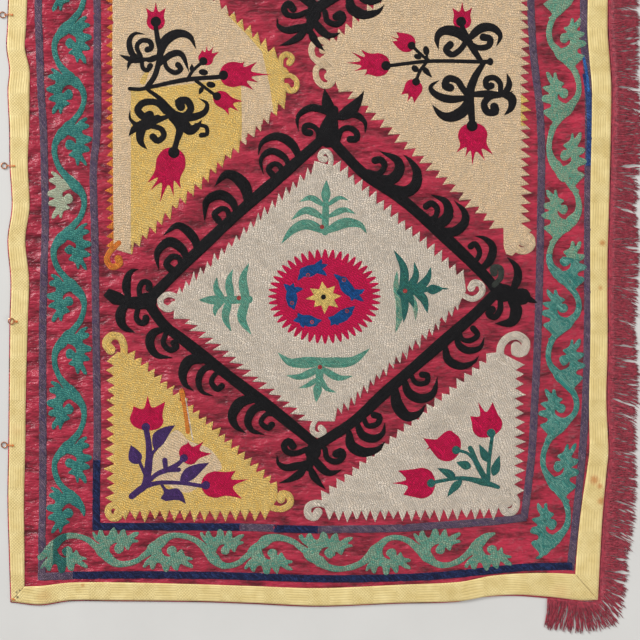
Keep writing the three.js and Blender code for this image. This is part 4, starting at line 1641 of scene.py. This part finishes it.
@dataclass
class SidePanel:
    """One of the two panels at the cloth's sides: a toothed wedge with a branch of tulips."""

    left: bool

    def motifs(self) -> list[Motif]:
        """Return the panel's shapes."""
        return self.left_motifs() if self.left else self.right_motifs()

    def left_motifs(self) -> list[Motif]:
        """Return the left panel: cream and mustard fields, orange teeth, black branch."""
        chance = np.random.default_rng(SEED + 2)
        axis, low = 86.0, 249.0
        high = 2 * axis - low
        points = toothed((113.5, low), (113.5, high), 36, (-7.0, 1.0), chance)
        points += toothed((128, high), (276, 60), 19, (1.5, -9.5), chance)
        points += [*pairs("280 66 286 68 289 72 287 76 284 80 286 92")]
        points += toothed((286, 97), (127, low), 21, (2.0, 9.5), chance)
        hook = curl(6.3, *pairs("119 243 110 252 107 260 112 267 119.5 264 118.5 258.5"))
        return [
            toothed_field(points, Yarn.CREAM, 88.0),
            recoloured("131 91 190 84 241 77.5 242 120 241 170 205 215 131 275", Yarn.MUSTARD, 80.0),
            recoloured("226 14 246 34 262 52 270 87 274 116 275 135 320 135 320 14", Yarn.MUSTARD, 60.0),
            recoloured("100 -90 113 -90 112.5 90 114 262 100 262", Yarn.ORANGE, 0.0),
            Motif(hook, Yarn.ORANGE), Motif(mirrored(hook, axis), Yarn.ORANGE), *drawn(LEFT_BRANCH),
        ]

    def right_motifs(self) -> list[Motif]:
        """Return the right panel: a cream field and a black branch."""
        chance = np.random.default_rng(SEED + 3)
        axis, low = 62.0, 232.0
        high = 2 * axis - low
        points = toothed((520.5, high), (520.5, low), 37, (9.5, 3.0), chance)
        points += [*pairs("520.5 240 518 250 512 256 506 254 503.5 246"), (503.5, low - 2)]
        points += toothed((503, low - 4), (345, 84), 20, (-9.5, 4.5), chance)
        points += toothed((335, 80), (330, 74), 1, (-4, 6), chance)
        points += [(326, 70), (314, 63), (324, 55)]
        points += toothed((330, 48), (503, high + 4), 24, (-2.5, -9.0), chance)
        points += [(504, 2 * axis - 254), (519, 2 * axis - 254)]
        hook = curl(8.0, *pairs("512 247 523 251 531 246 530 238 524.5 237 523.5 242"))
        return [
            toothed_field(points, Yarn.CREAM, 90.0),
            recoloured("520.5 95 535 95 535 126 520.5 126", Yarn.STAR, 90.0),
            Motif(hook, Yarn.CREAM), Motif(mirrored(hook, axis), Yarn.CREAM), *drawn(RIGHT_BRANCH),
        ]


@dataclass
class CornerPanel:
    """One of the two lower corner panels: a toothed triangle with a branch of three tulips."""

    mustard: bool

    def motifs(self) -> list[Motif]:
        """Return the panel's shapes."""
        return self.mustard_motifs() if self.mustard else self.white_motifs()

    def mustard_motifs(self) -> list[Motif]:
        """Return the mustard panel with its purple branch."""
        chance = np.random.default_rng(SEED + 4)
        points = toothed((114.5, 503), (114.5, 356), 15, (-9.0, -0.5), chance)
        points += [(118, 352)]
        points += toothed((128, 354), (276, 490), 23, (5.0, -6.5), chance)
        points += [(278, 498)]
        points += toothed((270, 510), (120, 510), 15, (0.0, 11.0), chance)
        heart = pairs("176 430 190 441 210 449 222 467 212 474 190 492 172 487 154 478 152 462 160 447")
        return [
            toothed_field(points, Yarn.MUSTARD, 78.0),
            Motif(smooth_line(heart, closed=True), Yarn.CREAM, 60.0, True), *drawn(PURPLE_BRANCH),
        ]

    def white_motifs(self) -> list[Motif]:
        """Return the white panel with its green branch."""
        chance = np.random.default_rng(SEED + 5)
        points = toothed((515, 360), (514, 494), 14, (10.0, 0.5), chance)
        points += [(506, 500)]
        points += toothed((498, 508), (325, 511), 19, (0.0, 11.0), chance)
        points += toothed((322, 501), (494, 357), 23, (-3.8, -6.2), chance)
        points += [(500, 352)]
        return [toothed_field(points, Yarn.WHITE, 20.0), *drawn(GREEN_BRANCH)]


def on_border(yarn: Yarn, low: float, high: float) -> Motif:
    """Return a patch that recolours the right vine between two heights, its ends cut at a slant."""
    return recoloured(f"530 {low} 600 {low + 14} 600 {high} 500 {high}", yarn)


@dataclass
class Embroidery:
    """All stitched pieces of the cloth."""

    repeat: float = -437.0
    large_from: float = 12.0

    def pieces(self) -> dict[str, list[Motif]]:
        """Return the motifs of each stitched piece, the far half set out from the near one."""
        frame_near, medallion_near = MedallionFrame().motifs(), Medallion().motifs()
        mustard, white = CornerPanel(True).motifs(), CornerPanel(False).motifs()
        further_up = tuple(69.3 - 52.2 * k for k in range(9, 0, -1))
        left_tips = further_up + (69.3, 118.0, 172.5, 223.5, 275.0, 327.0, 381.5, 437.0, 487.0)
        left_vine = Vine(Yarn.TEAL, left_tips, 1, ((-450, 69.5), (540, 69.5)), odd_leaves={11: Yarn.STRAW})
        right_tips = (552.0, 495.0, 433.0, 387.0, 333.0, 288.0, 236.0, 185.0, 121.0, 65.0)
        right_tips += tuple(65.0 - 52.6 * k for k in range(1, 9))
        right_vine = Vine(Yarn.GREY_GREEN, right_tips, -1,
                          ((-450, 563), (300, 564), (400, 562), (560, 550)), onward=-1, lobe=(-3.5, -6.5))
        bottom_tips = (41.0, 93.0, 144.0, 201.0, 245.0, 300.0, 366.0, 414.0, 465.5)
        bottom_vine = Vine(Yarn.PALE_GREEN, bottom_tips, -1,
                           ((40, 551), (130, 549), (230, 551), (345, 554), (450, 550), (530, 547)), True)
        top_tips = tuple(2 * MIDDLE_X - tip for tip in bottom_tips)
        top_vine = Vine(Yarn.TEAL, top_tips, 1, ((40, -408), (580, -408)), True, onward=-1)
        teal_part = on_border(Yarn.SEA_GREEN, 250, 620)
        dark_part = recoloured("54 530 67 530 66 585 52 585", Yarn.DARK_GREEN)
        return {
            "bands": drawn(BANDS),
            "vine_left": left_vine.motifs(), "vine_right": right_vine.motifs() + [teal_part],
            "vine_bottom": bottom_vine.motifs() + [dark_part], "vine_top": top_vine.motifs(),
            "side_panel_left": SidePanel(True).motifs(), "side_panel_right": SidePanel(False).motifs(),
            "corner_bottom_left": mustard, "corner_bottom_right": white,
            "corner_top_right": self.changed(mustard, half_turn),
            "corner_top_left": self.changed(white, half_turn),
            "medallion_lower": medallion_near, "frame_lower": frame_near,
            "medallion_upper": self.changed(medallion_near, self.up),
            "frame_upper": self.changed(frame_near, self.up),
        }

    def up(self, shape: np.ndarray) -> np.ndarray:
        """Return a shape moved to the far medallion's place."""
        return shape + np.array((0.0, self.repeat))

    def changed(self, motifs: list[Motif], change: object) -> list[Motif]:
        """Return motifs with their outlines changed."""
        return [Motif(change(m.shape), m.yarn, m.turn, m.within) for m in motifs]

    def stitched_areas(self) -> list[np.ndarray]:
        """Return the outlines that hold the satin flat, in metres."""
        areas = []
        for motifs in self.pieces().values():
            large = [m for m in motifs if not m.within and np.ptp(m.shape, axis=0).max() > self.large_from]
            areas += [on_cloth(m.shape) for m in large]
        return areas


# Cloth, ribbons, fringe and rings


@dataclass
class GroundCloth:
    """The satin panel with its turned edge."""

    columns: int = 204
    near_row: float = 6.4 * MM
    far_row: float = 12.0 * MM
    turned: float = 4 * MM

    def build(self, relief: ClothRelief, look: Material) -> Piece:
        """Build the satin.

        Formula: a grid of shares of the width and length, each share carried to the uneven edges, with the
        relief's height, and closed by a rim and a flat underside on the floor.
        """
        near = np.arange(-HALF_LENGTH, TOP_IN_VIEW, self.near_row)
        far = np.arange(TOP_IN_VIEW, HALF_LENGTH, self.far_row)
        shares = np.concatenate((near, far, (HALF_LENGTH,)))
        shares = (shares + HALF_LENGTH) / (2 * HALF_LENGTH)
        u, v = np.meshgrid(np.linspace(0, 1, self.columns), shares)
        points = cloth_place(u, v, TURNED_EDGE)
        edge = np.minimum(np.minimum(u, 1 - u), np.minimum(v, 1 - v)) * 2 * HALF_WIDTH
        height = relief.at(points) * (0.55 + 0.45 * rounded(edge / self.turned).ravel())
        top = np.column_stack((points, height))
        everything, faces = closed_sheet(top, len(shares), self.columns, 0.0, 7)
        uv = np.concatenate([everything[f.ravel(), :2] for f in faces])
        return make_piece("satin_panel", everything, faces, look, uv)


def cloth_place(u: np.ndarray, v: np.ndarray, outside: float) -> np.ndarray:
    """Carry shares of the width and length to places between the uneven edges.

    Formula: y is the share between the bottom and top edges above the plain rectangle's x, and x is the share
    between the left and right edges at that y.

    Args:
        u: share of the width.
        v: share of the length.
        outside: how far the outermost places lie outside the ribbon's edge.

    Returns:
        One pair for each share, row after row.
    """
    plain = (-HALF_WIDTH + 2 * HALF_WIDTH * u).ravel()
    low, high = BOTTOM.read(1, plain) - outside, TOP.read(1, plain) + outside
    y = low + (high - low) * v.ravel()
    near, far = LEFT.read(1, y) - outside, RIGHT.read(1, y) + outside
    return np.column_stack((near + (far - near) * u.ravel(), y))


@dataclass
class RibbonBorder:
    """Four quilted ribbon strips with mitred ends."""

    along_step: float = 3.4 * MM
    rows_across: int = 12
    puff: float = 0.7 * MM
    waves: float = 0.12 * MM
    edge_drop: float = 0.5 * MM

    def corner(self, side: Edge, end: Edge, sign_side: int, sign_end: int, inner: bool) -> np.ndarray:
        """Find a corner by stepping between the two edges until it settles."""
        x = sign_side * HALF_WIDTH
        y = sign_end * HALF_LENGTH
        for _ in range(6):
            x = float(side.read(1, np.array([y]))[0])
            x -= sign_side * float(side.read(2, np.array([y]))[0]) if inner else 0.0
            y = float(end.read(1, np.array([x]))[0])
            y -= sign_end * float(end.read(2, np.array([x]))[0]) if inner else 0.0
        return np.array((x, y))

    def build(self, look: Material) -> list[Piece]:
        """Build the four strips, each from its outer edge to its inner edge."""
        strips = {
            "ribbon_left": (LEFT, 1, -1), "ribbon_right": (RIGHT, 1, 1),
            "ribbon_bottom": (BOTTOM, 0, -1), "ribbon_top": (TOP, 0, 1),
        }
        return [self.strip(name, *place, look) for name, place in strips.items()]

    def strip(self, name: str, edge: Edge, axis: int, sign: int,
              look: Material) -> Piece:
        """Build one strip.

        Formula: each row of the grid is a line from a place on the outer edge to the place with the same
        share on the inner edge. The top is puffed between the quilting lines and falls off at both edges.

        Args:
            name: the strip's name, also of the node that it stands for.
            edge: the edge that it lies on.
            axis: 1 for a strip along y, 0 for one along x.
            sign: the side of the cloth.
            look: the ribbon's material.

        Returns:
            The strip.
        """
        corners = []
        for inner in (False, True):
            for other in (-1, 1):
                if axis == 1:
                    end = TOP if other > 0 else BOTTOM
                    corners.append(self.corner(edge, end, sign, other, inner))
                else:
                    side = RIGHT if other > 0 else LEFT
                    corners.append(self.corner(side, edge, other, sign, inner))
        outer_from, outer_to, inner_from, inner_to = (c[axis] for c in corners)
        count = int((outer_to - outer_from) / self.along_step)
        share = np.linspace(0, 1, count)
        outer_at = outer_from + MITRE_GAP + (outer_to - outer_from - 2 * MITRE_GAP) * share
        inner_at = inner_from + MITRE_GAP + (inner_to - inner_from - 2 * MITRE_GAP) * share
        outer = edge.read(1, outer_at)
        inner = edge.read(1, inner_at) - sign * edge.read(2, inner_at)
        across = np.linspace(0, 1, self.rows_across)
        c = np.tile(across, (count, 1))
        at = outer_at[:, None] * (1 - c) + inner_at[:, None] * c
        off = outer[:, None] * (1 - c) + inner[:, None] * c
        wide = np.abs(inner - outer)[:, None] * c
        chance = np.random.default_rng(SEED + len(name))
        wave = np.zeros_like(at)
        for _ in range(5):
            length, phase = chance.uniform(0.03, 0.22), chance.uniform(0, 2 * np.pi)
            wave += np.sin(2 * np.pi * at / length + phase + 3 * c)
        pitch, quilt = RibbonFinish().line_pitch, RibbonFinish().quilt
        block = np.sin(2 * np.pi * at / quilt) > 0
        rise = np.abs(np.sin(np.pi * (at + wide) / pitch))
        fall = np.abs(np.sin(np.pi * (at - wide) / pitch))
        straight = np.abs(np.sin(np.pi * wide / (0.8 * pitch)))
        quilting = np.where(block, np.minimum(rise, fall), straight) ** 0.6
        edge_fall = rounded(np.minimum(c, 1 - c) * 12)
        height = RIBBON_TOP + (self.puff * (quilting - 0.4) + self.waves * wave) * edge_fall
        height -= self.edge_drop * (1 - edge_fall)
        flat = np.column_stack([v.ravel() for v in ((off, at) if axis == 1 else (at, off))])
        top = np.column_stack((flat, height.ravel()))
        uv_of = np.column_stack((at.ravel(), wide.ravel()))
        columns = self.rows_across
        if (axis == 1 and sign > 0) or (axis == 0 and sign < 0):
            order = np.arange(count * columns).reshape(count, columns)[:, ::-1].ravel()
            top, uv_of = top[order], uv_of[order]
        everything, faces = closed_sheet(top, count, columns, RIBBON_BOTTOM)
        uv_all = np.vstack((uv_of, uv_of[rim_of_grid(count, columns)]))
        uv = np.concatenate([uv_all[f.ravel()] for f in faces])
        strip = make_piece(name + "_quilted", everything, faces, look, uv)
        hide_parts(name)
        return strip


@dataclass
class Fringe:
    """A heading tape and its twisted threads, on the right side and a short way round both corners."""

    inner: float = 3.4 * MM
    heading: float = 8.0 * MM
    heading_top: float = 2.0 * MM
    back_to: float = 575 * MM
    corner_fan: float = 75 * MM
    length: float = 68 * MM
    threads: int = 2500
    locks: int = 176
    radius: float = 1.05 * MM
    rings: int = 7
    sides: int = 4
    lean_at: tuple = (-1268, -1100, -800, -300, 300, 900, 1268)
    lean_by: tuple = (-6, -16, -14, -6, 3, -5, 2)
    swells: tuple = ((8 * MM, 0.25), (3.5 * MM, 0.083))
    thread_lean: float = 6.0 * MM
    lock_lean: float = 4.5 * MM
    length_spread: float = 3.4 * MM
    gathering: float = 0.42
    wave: float = 1.5 * MM
    layers: float = 2.2 * MM
    spacing: float = 2 * MM

    def path(self) -> tuple[np.ndarray, np.ndarray]:
        """Return the sewn line at even steps and the direction, in radians, in which threads leave it."""
        low_x = np.arange(self.back_to, 0.6965, self.spacing)
        bottom = np.column_stack((low_x, BOTTOM.read(1, low_x)))
        side_y = np.arange(-1.268, 1.2781, self.spacing)
        side = np.column_stack((RIGHT.read(1, side_y), side_y))
        top_x = np.arange(0.711, self.back_to, -self.spacing)
        top = np.column_stack((top_x, TOP.read(1, top_x)))
        line = even_line(np.vstack((bottom, side[2:-3], top)), self.spacing)
        along = np.gradient(line, axis=0)
        reach = np.arange(len(line)) * self.spacing
        corner_low = reach[np.argmin(np.hypot(*(line - bottom[-1]).T))]
        corner_high = reach[np.argmin(np.hypot(*(line - top[0]).T))]
        turn = np.interp(reach, (corner_low - self.corner_fan, corner_low + self.corner_fan,
                                 corner_high - self.corner_fan, corner_high + self.corner_fan),
                         (-np.pi / 2, 0, 0, np.pi / 2))
        across = np.arctan2(-along[:, 0], along[:, 1])
        span = 6
        kernel = np.hanning(2 * span + 3)[1:-1]
        padded = np.pad(np.unwrap(across), span, mode="edge")
        return line, np.column_stack((turn, np.convolve(padded, kernel / kernel.sum(), "valid")))

    def build(self, look: Material) -> Piece:
        """Build heading and threads as one piece.

        Formula: the heading is an oval section carried along the sewn line. Each thread starts in it, runs
        out along its direction, leans with the edge as the 1.4th power of its reach, gathers towards the
        middle of its lock, waves a little, and sinks to lie on the floor or on its neighbours.
        """
        line, turns = self.path()
        chance = np.random.default_rng(SEED + 8)
        out = np.column_stack((np.cos(turns[:, 1]), np.sin(turns[:, 1])))
        middle = line + out * (self.inner + self.heading / 2)
        ring = even_turns(10)
        wide = np.cos(ring) * self.heading / 2 * 0.97
        tall = np.sin(ring) * self.heading_top / 2 + self.heading_top / 2
        body = np.empty((len(line), 10, 3))
        body[..., :2] = middle[:, None, :] + out[:, None, :] * wide[None, :, None]
        body[..., 2] = tall * (1 + 0.10 * np.sin(np.arange(len(line)) * 1.9))[:, None]
        rows = len(line)
        faces = [grid_faces(rows, 10, 0, True), np.arange(10)[None, ::-1],
                 (rows - 1) * 10 + np.arange(10)[None, :]]
        uv = [np.column_stack((np.tile(np.arange(rows)[:, None] * self.spacing, (1, 10)).ravel(),
                               np.tile(np.arange(10) / 10, rows)))]
        share = (np.arange(self.threads) + chance.uniform(0.1, 0.9, self.threads)) / self.threads
        at = share * (rows - 1)
        lock = (np.floor(share * self.locks) + 0.5) / self.locks
        gather = (lock - share) * (rows - 1) * self.spacing
        root = np.column_stack([np.interp(at, np.arange(rows), middle[:, k]) for k in (0, 1)])
        angle = np.interp(at, np.arange(rows), turns[:, 0])
        reach = np.linspace(0, 1, self.rings)[None, :]
        length = (self.length + chance.normal(0, self.length_spread, self.threads))[:, None]
        length = length * (0.93 + 0.07 * np.sin(share * 61)[:, None])
        forward = np.column_stack((np.cos(angle), np.sin(angle)))
        sideways = np.column_stack((-forward[:, 1], forward[:, 0]))
        lean = np.interp(root[:, 1], np.array(self.lean_at) * MM, np.array(self.lean_by) * MM)
        for swell, wavelength in self.swells:
            lean = lean + swell * np.sin(2 * np.pi * root[:, 1] / wavelength)
        lean = lean + chance.normal(0, self.thread_lean, self.threads)
        lock_number = np.floor(share * self.locks).astype(int)
        lean = lean + chance.normal(0, self.lock_lean, self.locks + 1)[lock_number]
        sway = lean[:, None] * reach**1.4 + self.gathering * gather[:, None] * reach
        waves = chance.uniform(0.8, 2.2, (self.threads, 1))
        phase = chance.uniform(0, 2 * np.pi, (self.threads, 1))
        sway = sway + self.wave * np.sin(2 * np.pi * waves * reach + phase) * np.minimum(reach * 3, 1)
        spine = np.empty((self.threads, self.rings, 3))
        spine[..., :2] = (root[:, None, :] + forward[:, None, :] * (length * reach)[..., None]
                          + sideways[:, None, :] * sway[..., None])
        layer = chance.uniform(0, self.layers, (self.threads, 1))
        spine[..., 2] = self.radius * 1.05 + (1.0 * MM - self.radius * 0.3) * (1 - reach) + layer * np.sin(
            np.pi * np.minimum(reach * 1.1 + 0.08, 1))
        side = even_turns(self.sides)
        thick = self.radius * np.interp(reach, (0, 0.85, 1), (1.0, 1.0, 0.55)) * (
            1 + 0.14 * np.sin(reach * 40 + phase))
        tube = spine[:, :, None, :] + np.zeros((1, 1, self.sides, 1))
        spoke = np.cos(side)[None, None, :] * thick[..., None]
        tube[..., :2] += sideways[:, None, None, :] * spoke[..., None]
        tube[..., 2] += np.sin(side)[None, None, :] * thick[..., None]
        per_thread = self.rings * self.sides
        base = rows * 10
        one = grid_faces(self.rings, self.sides, 0, True)
        starts = base + np.arange(self.threads) * per_thread
        faces.append((one[None, :, ::-1] + starts[:, None, None]).reshape(-1, 4))
        faces.append(np.arange(self.sides)[None, :] + starts[:, None])
        tips = (self.rings - 1) * self.sides + np.arange(self.sides)
        faces.append(tips[None, ::-1] + starts[:, None])
        uv_thread = np.stack((np.broadcast_to((length * reach)[..., None], tube.shape[:3]),
                              np.broadcast_to(side / (2 * np.pi), tube.shape[:3])), -1)
        uv.append(uv_thread.reshape(-1, 2))
        points = np.vstack((body.reshape(-1, 3), tube.reshape(-1, 3)))
        uv_all = np.vstack(uv)
        corners = np.concatenate([uv_all[f.ravel()] for f in faces])
        piece = make_piece("thread_fringe", points, faces, look, corners)
        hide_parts("fringe")
        return piece


def tube_along(path: np.ndarray, radii: np.ndarray, sides: int = 8) -> tuple[np.ndarray, list[np.ndarray]]:
    """Carry a circle along a path.

    Formula: at each point the circle lies square to the path, its first spoke as level as can be. A flat face
    closes each end.

    Args:
        path: points in space.
        radii: radius at each point.
        sides: corners of the circle.

    Returns:
        Points and faces.
    """
    along = np.gradient(path, axis=0)
    along /= np.linalg.norm(along, axis=1)[:, None]
    across = np.cross(along, (0.0, 0.0, 1.0))
    across /= np.maximum(np.linalg.norm(across, axis=1), 1e-6)[:, None]
    up = np.cross(across, along)
    angle = even_turns(sides)
    ring = across[:, None, :] * np.cos(angle)[None, :, None] + up[:, None, :] * np.sin(angle)[None, :, None]
    points = (path[:, None, :] + ring * radii[:, None, None]).reshape(-1, 3)
    last = (len(path) - 1) * sides
    return points, [grid_faces(len(path), sides, 0, True), np.arange(sides)[None, ::-1],
                    last + np.arange(sides)[None, :]]


@dataclass
class CurtainRings:
    """The small copper rings at the left edge with the orange threads that tie them on."""

    radius: float = 6.8 * MM
    wire: float = 1.2 * MM
    places: tuple = ((-729, -895, 0.0), (-711, -598, 3.8), (-729, -225, 0.0), (-733, 137, 0.0),
                     (-730, 473, 0.0), (-730, 809, 0.0), (-727, 1145, 0.0))
    flat_top: float = 1.039 * MM
    ribbon_top: float = 4.4 * MM
    knot: float = 2.3 * MM
    thread: float = 0.55 * MM
    steps_round: int = 48
    steps_across: int = 12

    def build(self, metal: Material, thread: Material) -> list[Piece]:
        """Build the rings, each for its node, and one piece with all ties and the spare knot."""
        made, parts = [], []
        for number, (x, y, under) in enumerate(self.places, 1):
            made.append(self.ring(number, x * MM, y * MM, under * MM, metal))
            parts += self.tie(x * MM, y * MM, under * MM, number)
        points, faces, count = [], [], 0
        for part, part_faces in parts + self.spare_knot():
            points.append(part)
            faces += [f + count for f in part_faces]
            count += len(part)
        everything = np.vstack(points)
        uv = np.concatenate([everything[f.ravel(), :2] for f in faces])
        made.append(make_piece("ring_ties", everything, faces, thread, uv))
        return made

    def ring(self, number: int, x: float, y: float, under: float,
             metal: Material) -> Piece:
        """Build one ring: a circle of wire carried round a circle."""
        n, m = self.steps_round, self.steps_across
        round_about = even_turns(n)
        section = even_turns(m)
        reach = self.radius + self.wire * np.cos(section)
        points = np.empty((n, m, 3))
        points[..., 0] = x + np.cos(round_about)[:, None] * reach
        points[..., 1] = y + np.sin(round_about)[:, None] * reach
        points[..., 2] = under + self.flat_top + 0.86 * self.wire * np.sin(section)
        r, c = np.meshgrid(np.arange(n), np.arange(m), indexing="ij")
        r_next, c_next = (r + 1) % n, (c + 1) % m
        quads = np.stack((r * m + c, r_next * m + c, r_next * m + c_next, r * m + c_next), -1).reshape(-1, 4)
        uv = np.column_stack((np.repeat(round_about, m), np.tile(section, n)))[quads.ravel()]
        piece = make_piece(f"curtain_ring_{number}", points.reshape(-1, 3), [quads], metal, uv)
        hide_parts(f"ring_{number}")
        return piece

    def tie(self, x: float, y: float, under: float, number: int) -> list:
        """Build two strands from the ring's near side to the ribbon, and their knot."""
        start = np.array((x + self.radius, y, under + self.flat_top))
        edge = float(LEFT.read(1, np.array([y]))[0])
        end = np.array((max(edge + 9 * MM, start[0] + 6 * MM), y - 1 * MM, self.ribbon_top))
        parts = []
        for side in (-1, 1):
            t = np.linspace(0, 1, 14)
            path = start + (end - start) * t[:, None]
            path[:, 1] += side * 1.1 * MM * np.sin(np.pi * t) + side * 0.4 * MM
            climb = (end[2] - start[2]) * smoothstep(t, 0.0, 0.75)
            path[:, 2] = start[2] + climb + 1.3 * MM * np.sin(np.pi * t)
            loop = np.array([(start[0] + 0.2 * MM, start[1] + side * 0.4 * MM, start[2] - 0.35 * self.wire),
                             (start[0] - 1.9 * MM, start[1] + side * 0.3 * MM, start[2] + 0.3 * MM),
                             (start[0] - 0.6 * MM, start[1] + side * 0.4 * MM, start[2] + 1.5 * MM)])
            path = np.vstack((loop, path[1:]))
            parts.append(tube_along(path, np.full(len(path), self.thread)))
        parts.append(self.blob(end, self.knot * (1 + 0.1 * (number % 3)), number))
        return parts

    def spare_knot(self) -> list:
        """Build the knot left in the lower corner, where a ring is missing, with its short thread end."""
        centre = on_cloth((12.5, 600))[0]
        centre = np.array((max(centre[0], -0.705), centre[1] + 2 * MM, self.ribbon_top))
        t = np.linspace(0, 1, 9)[:, None]
        path = centre + t * np.array((-9 * MM, 1.5 * MM, 0.0))
        path = path + np.sin(np.pi * t) * np.array((0, 2 * MM, 0.8 * MM))
        return [self.blob(centre, self.knot, 9), tube_along(path, np.full(9, self.thread))]

    def blob(self, centre: np.ndarray, size: float, seed: int) -> tuple[np.ndarray, list[np.ndarray]]:
        """Build a knot: a round form whose radius swings as crossed windings of thread do."""
        rows, columns = 12, 18
        polar, turn = np.meshgrid(np.linspace(0.08, np.pi - 0.08, rows),
                                  even_turns(columns), indexing="ij")
        radius = size * (1 + 0.13 * np.sin(5 * turn + 3 * polar + seed) + 0.08 * np.sin(7 * polar - 2 * turn))
        x = centre[0] + radius * np.sin(polar) * np.cos(turn)
        y = centre[1] + radius * np.sin(polar) * np.sin(turn)
        z = centre[2] + 0.62 * radius * np.cos(polar)
        points = np.stack((x, y, z), -1).reshape(-1, 3)
        last = (rows - 1) * columns
        return points, [grid_faces(rows, columns, 0, True)[:, ::-1], np.arange(columns)[None, :],
                        last + np.arange(columns)[None, ::-1]]


# Camera, light and floor


@dataclass
class Studio:
    """A pale floor, soft lights and a camera straight above the near half of the cloth."""

    picture: float = 640.0
    lens: float = 60.0
    sensor: float = 36.0

    def build(self) -> None:
        """Place camera, lights and floor."""
        self.camera()
        bpy.context.scene.view_settings.view_transform = "Standard"
        self.light("key", (-7.0, 5.0, 3.3), 2.6, 1290.0)
        self.light("side", (4.5, -3.9, 2.9), 3.2, 155.0)
        self.light("far", (1.8, 7.0, 4.0), 4.0, 120.0)
        world = bpy.data.worlds.new("studio")
        world.use_nodes = True
        world.node_tree.nodes["Background"].inputs["Color"].default_value = (1.0, 1.0, 1.0, 1.0)
        world.node_tree.nodes["Background"].inputs["Strength"].default_value = 0.60
        bpy.context.scene.world = world
        self.floor()

    def camera(self) -> None:
        """Place the camera: its distance makes the picture as wide as the photograph's 640 steps."""
        data = bpy.data.cameras.new("camera")
        data.lens = self.lens
        data.sensor_width = self.sensor
        data.clip_end = 60.0
        camera = bpy.data.objects.new("camera", data)
        centre = on_cloth((self.picture / 2,) * 2)[0]
        distance = self.picture * STEP * self.lens / self.sensor
        camera.location = (centre[0], centre[1], distance)
        bpy.context.scene.collection.objects.link(camera)
        bpy.context.scene.camera = camera

    def light(self, name: str, place: tuple, size: float, power: float) -> None:
        """Place a square soft light that looks at the middle of the view."""
        data = bpy.data.lights.new(name, "AREA")
        data.energy = power
        data.size = size
        lamp = bpy.data.objects.new(name, data)
        lamp.location = place
        aim = mathutils.Vector((0.0, -0.6, 0.0)) - mathutils.Vector(place)
        lamp.rotation_euler = aim.to_track_quat("-Z", "Y").to_euler()
        bpy.context.scene.collection.objects.link(lamp)

    def floor(self) -> None:
        """Lay the pale floor."""
        reach = 9.0
        mesh = bpy.data.meshes.new("floor")
        mesh.from_pydata([(-reach, -reach, -0.0002), (reach, -reach, -0.0002), (reach, reach, -0.0002),
                          (-reach, reach, -0.0002)], [], [(0, 1, 2, 3)])
        b = Bench("pale_floor")
        tone = b.noise(b.coordinates("Object"), 6.0, 5.0)
        colour = b.mix(tone, (0.50, 0.49, 0.47, 1.0), (0.56, 0.55, 0.53, 1.0))
        mesh.materials.append(b.finish(Base_Color=colour, Roughness=1.0, Specular_IOR_Level=0.1))
        floor = bpy.data.objects.new("floor", mesh)
        bpy.context.scene.collection.objects.link(floor)


def declare_cloth(ribbons: list[Piece]) -> None:
    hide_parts("ground_cloth")
    for ribbon in ribbons:
        size = [hi - lo for lo, hi in zip(*ribbon_box(ribbon))]


def ribbon_box(piece: Piece) -> tuple[np.ndarray, np.ndarray]:
    """Return the lowest and highest corner of a piece, in x and y."""
    points = np.empty(len(piece.data.vertices) * 3, np.float32)
    piece.data.vertices.foreach_get("co", points)
    points = points.reshape(-1, 3)[:, :2].astype(float)
    return points.min(0), points.max(0)


def main() -> None:
    """Build the studio and the cloth in order."""
    logging.basicConfig(level=logging.INFO, format="%(message)s")
    Studio().build()
    embroidery = Embroidery()
    relief = ClothRelief()
    relief.build(embroidery.stitched_areas())
    satin, yarn = SatinFinish().material(), StitchFinish().material()
    panel = GroundCloth().build(relief, satin)
    ribbons = RibbonBorder().build(RibbonFinish().material())
    for name, motifs in embroidery.pieces().items():
        StitchedPatch(name, motifs).build(relief, yarn)
    fringe_look = ThreadFinish("fringe_thread", (92, 8, 28), (164, 42, 62)).material()
    Fringe().build(fringe_look)
    tie_look = ThreadFinish("orange_thread", (176, 84, 24), (224, 130, 50)).material()
    CurtainRings().build(CopperFinish().material(), tie_look)
    declare_cloth(ribbons)
    bpy.context.view_layer.update()


if __name__ == "__main__":
    main()
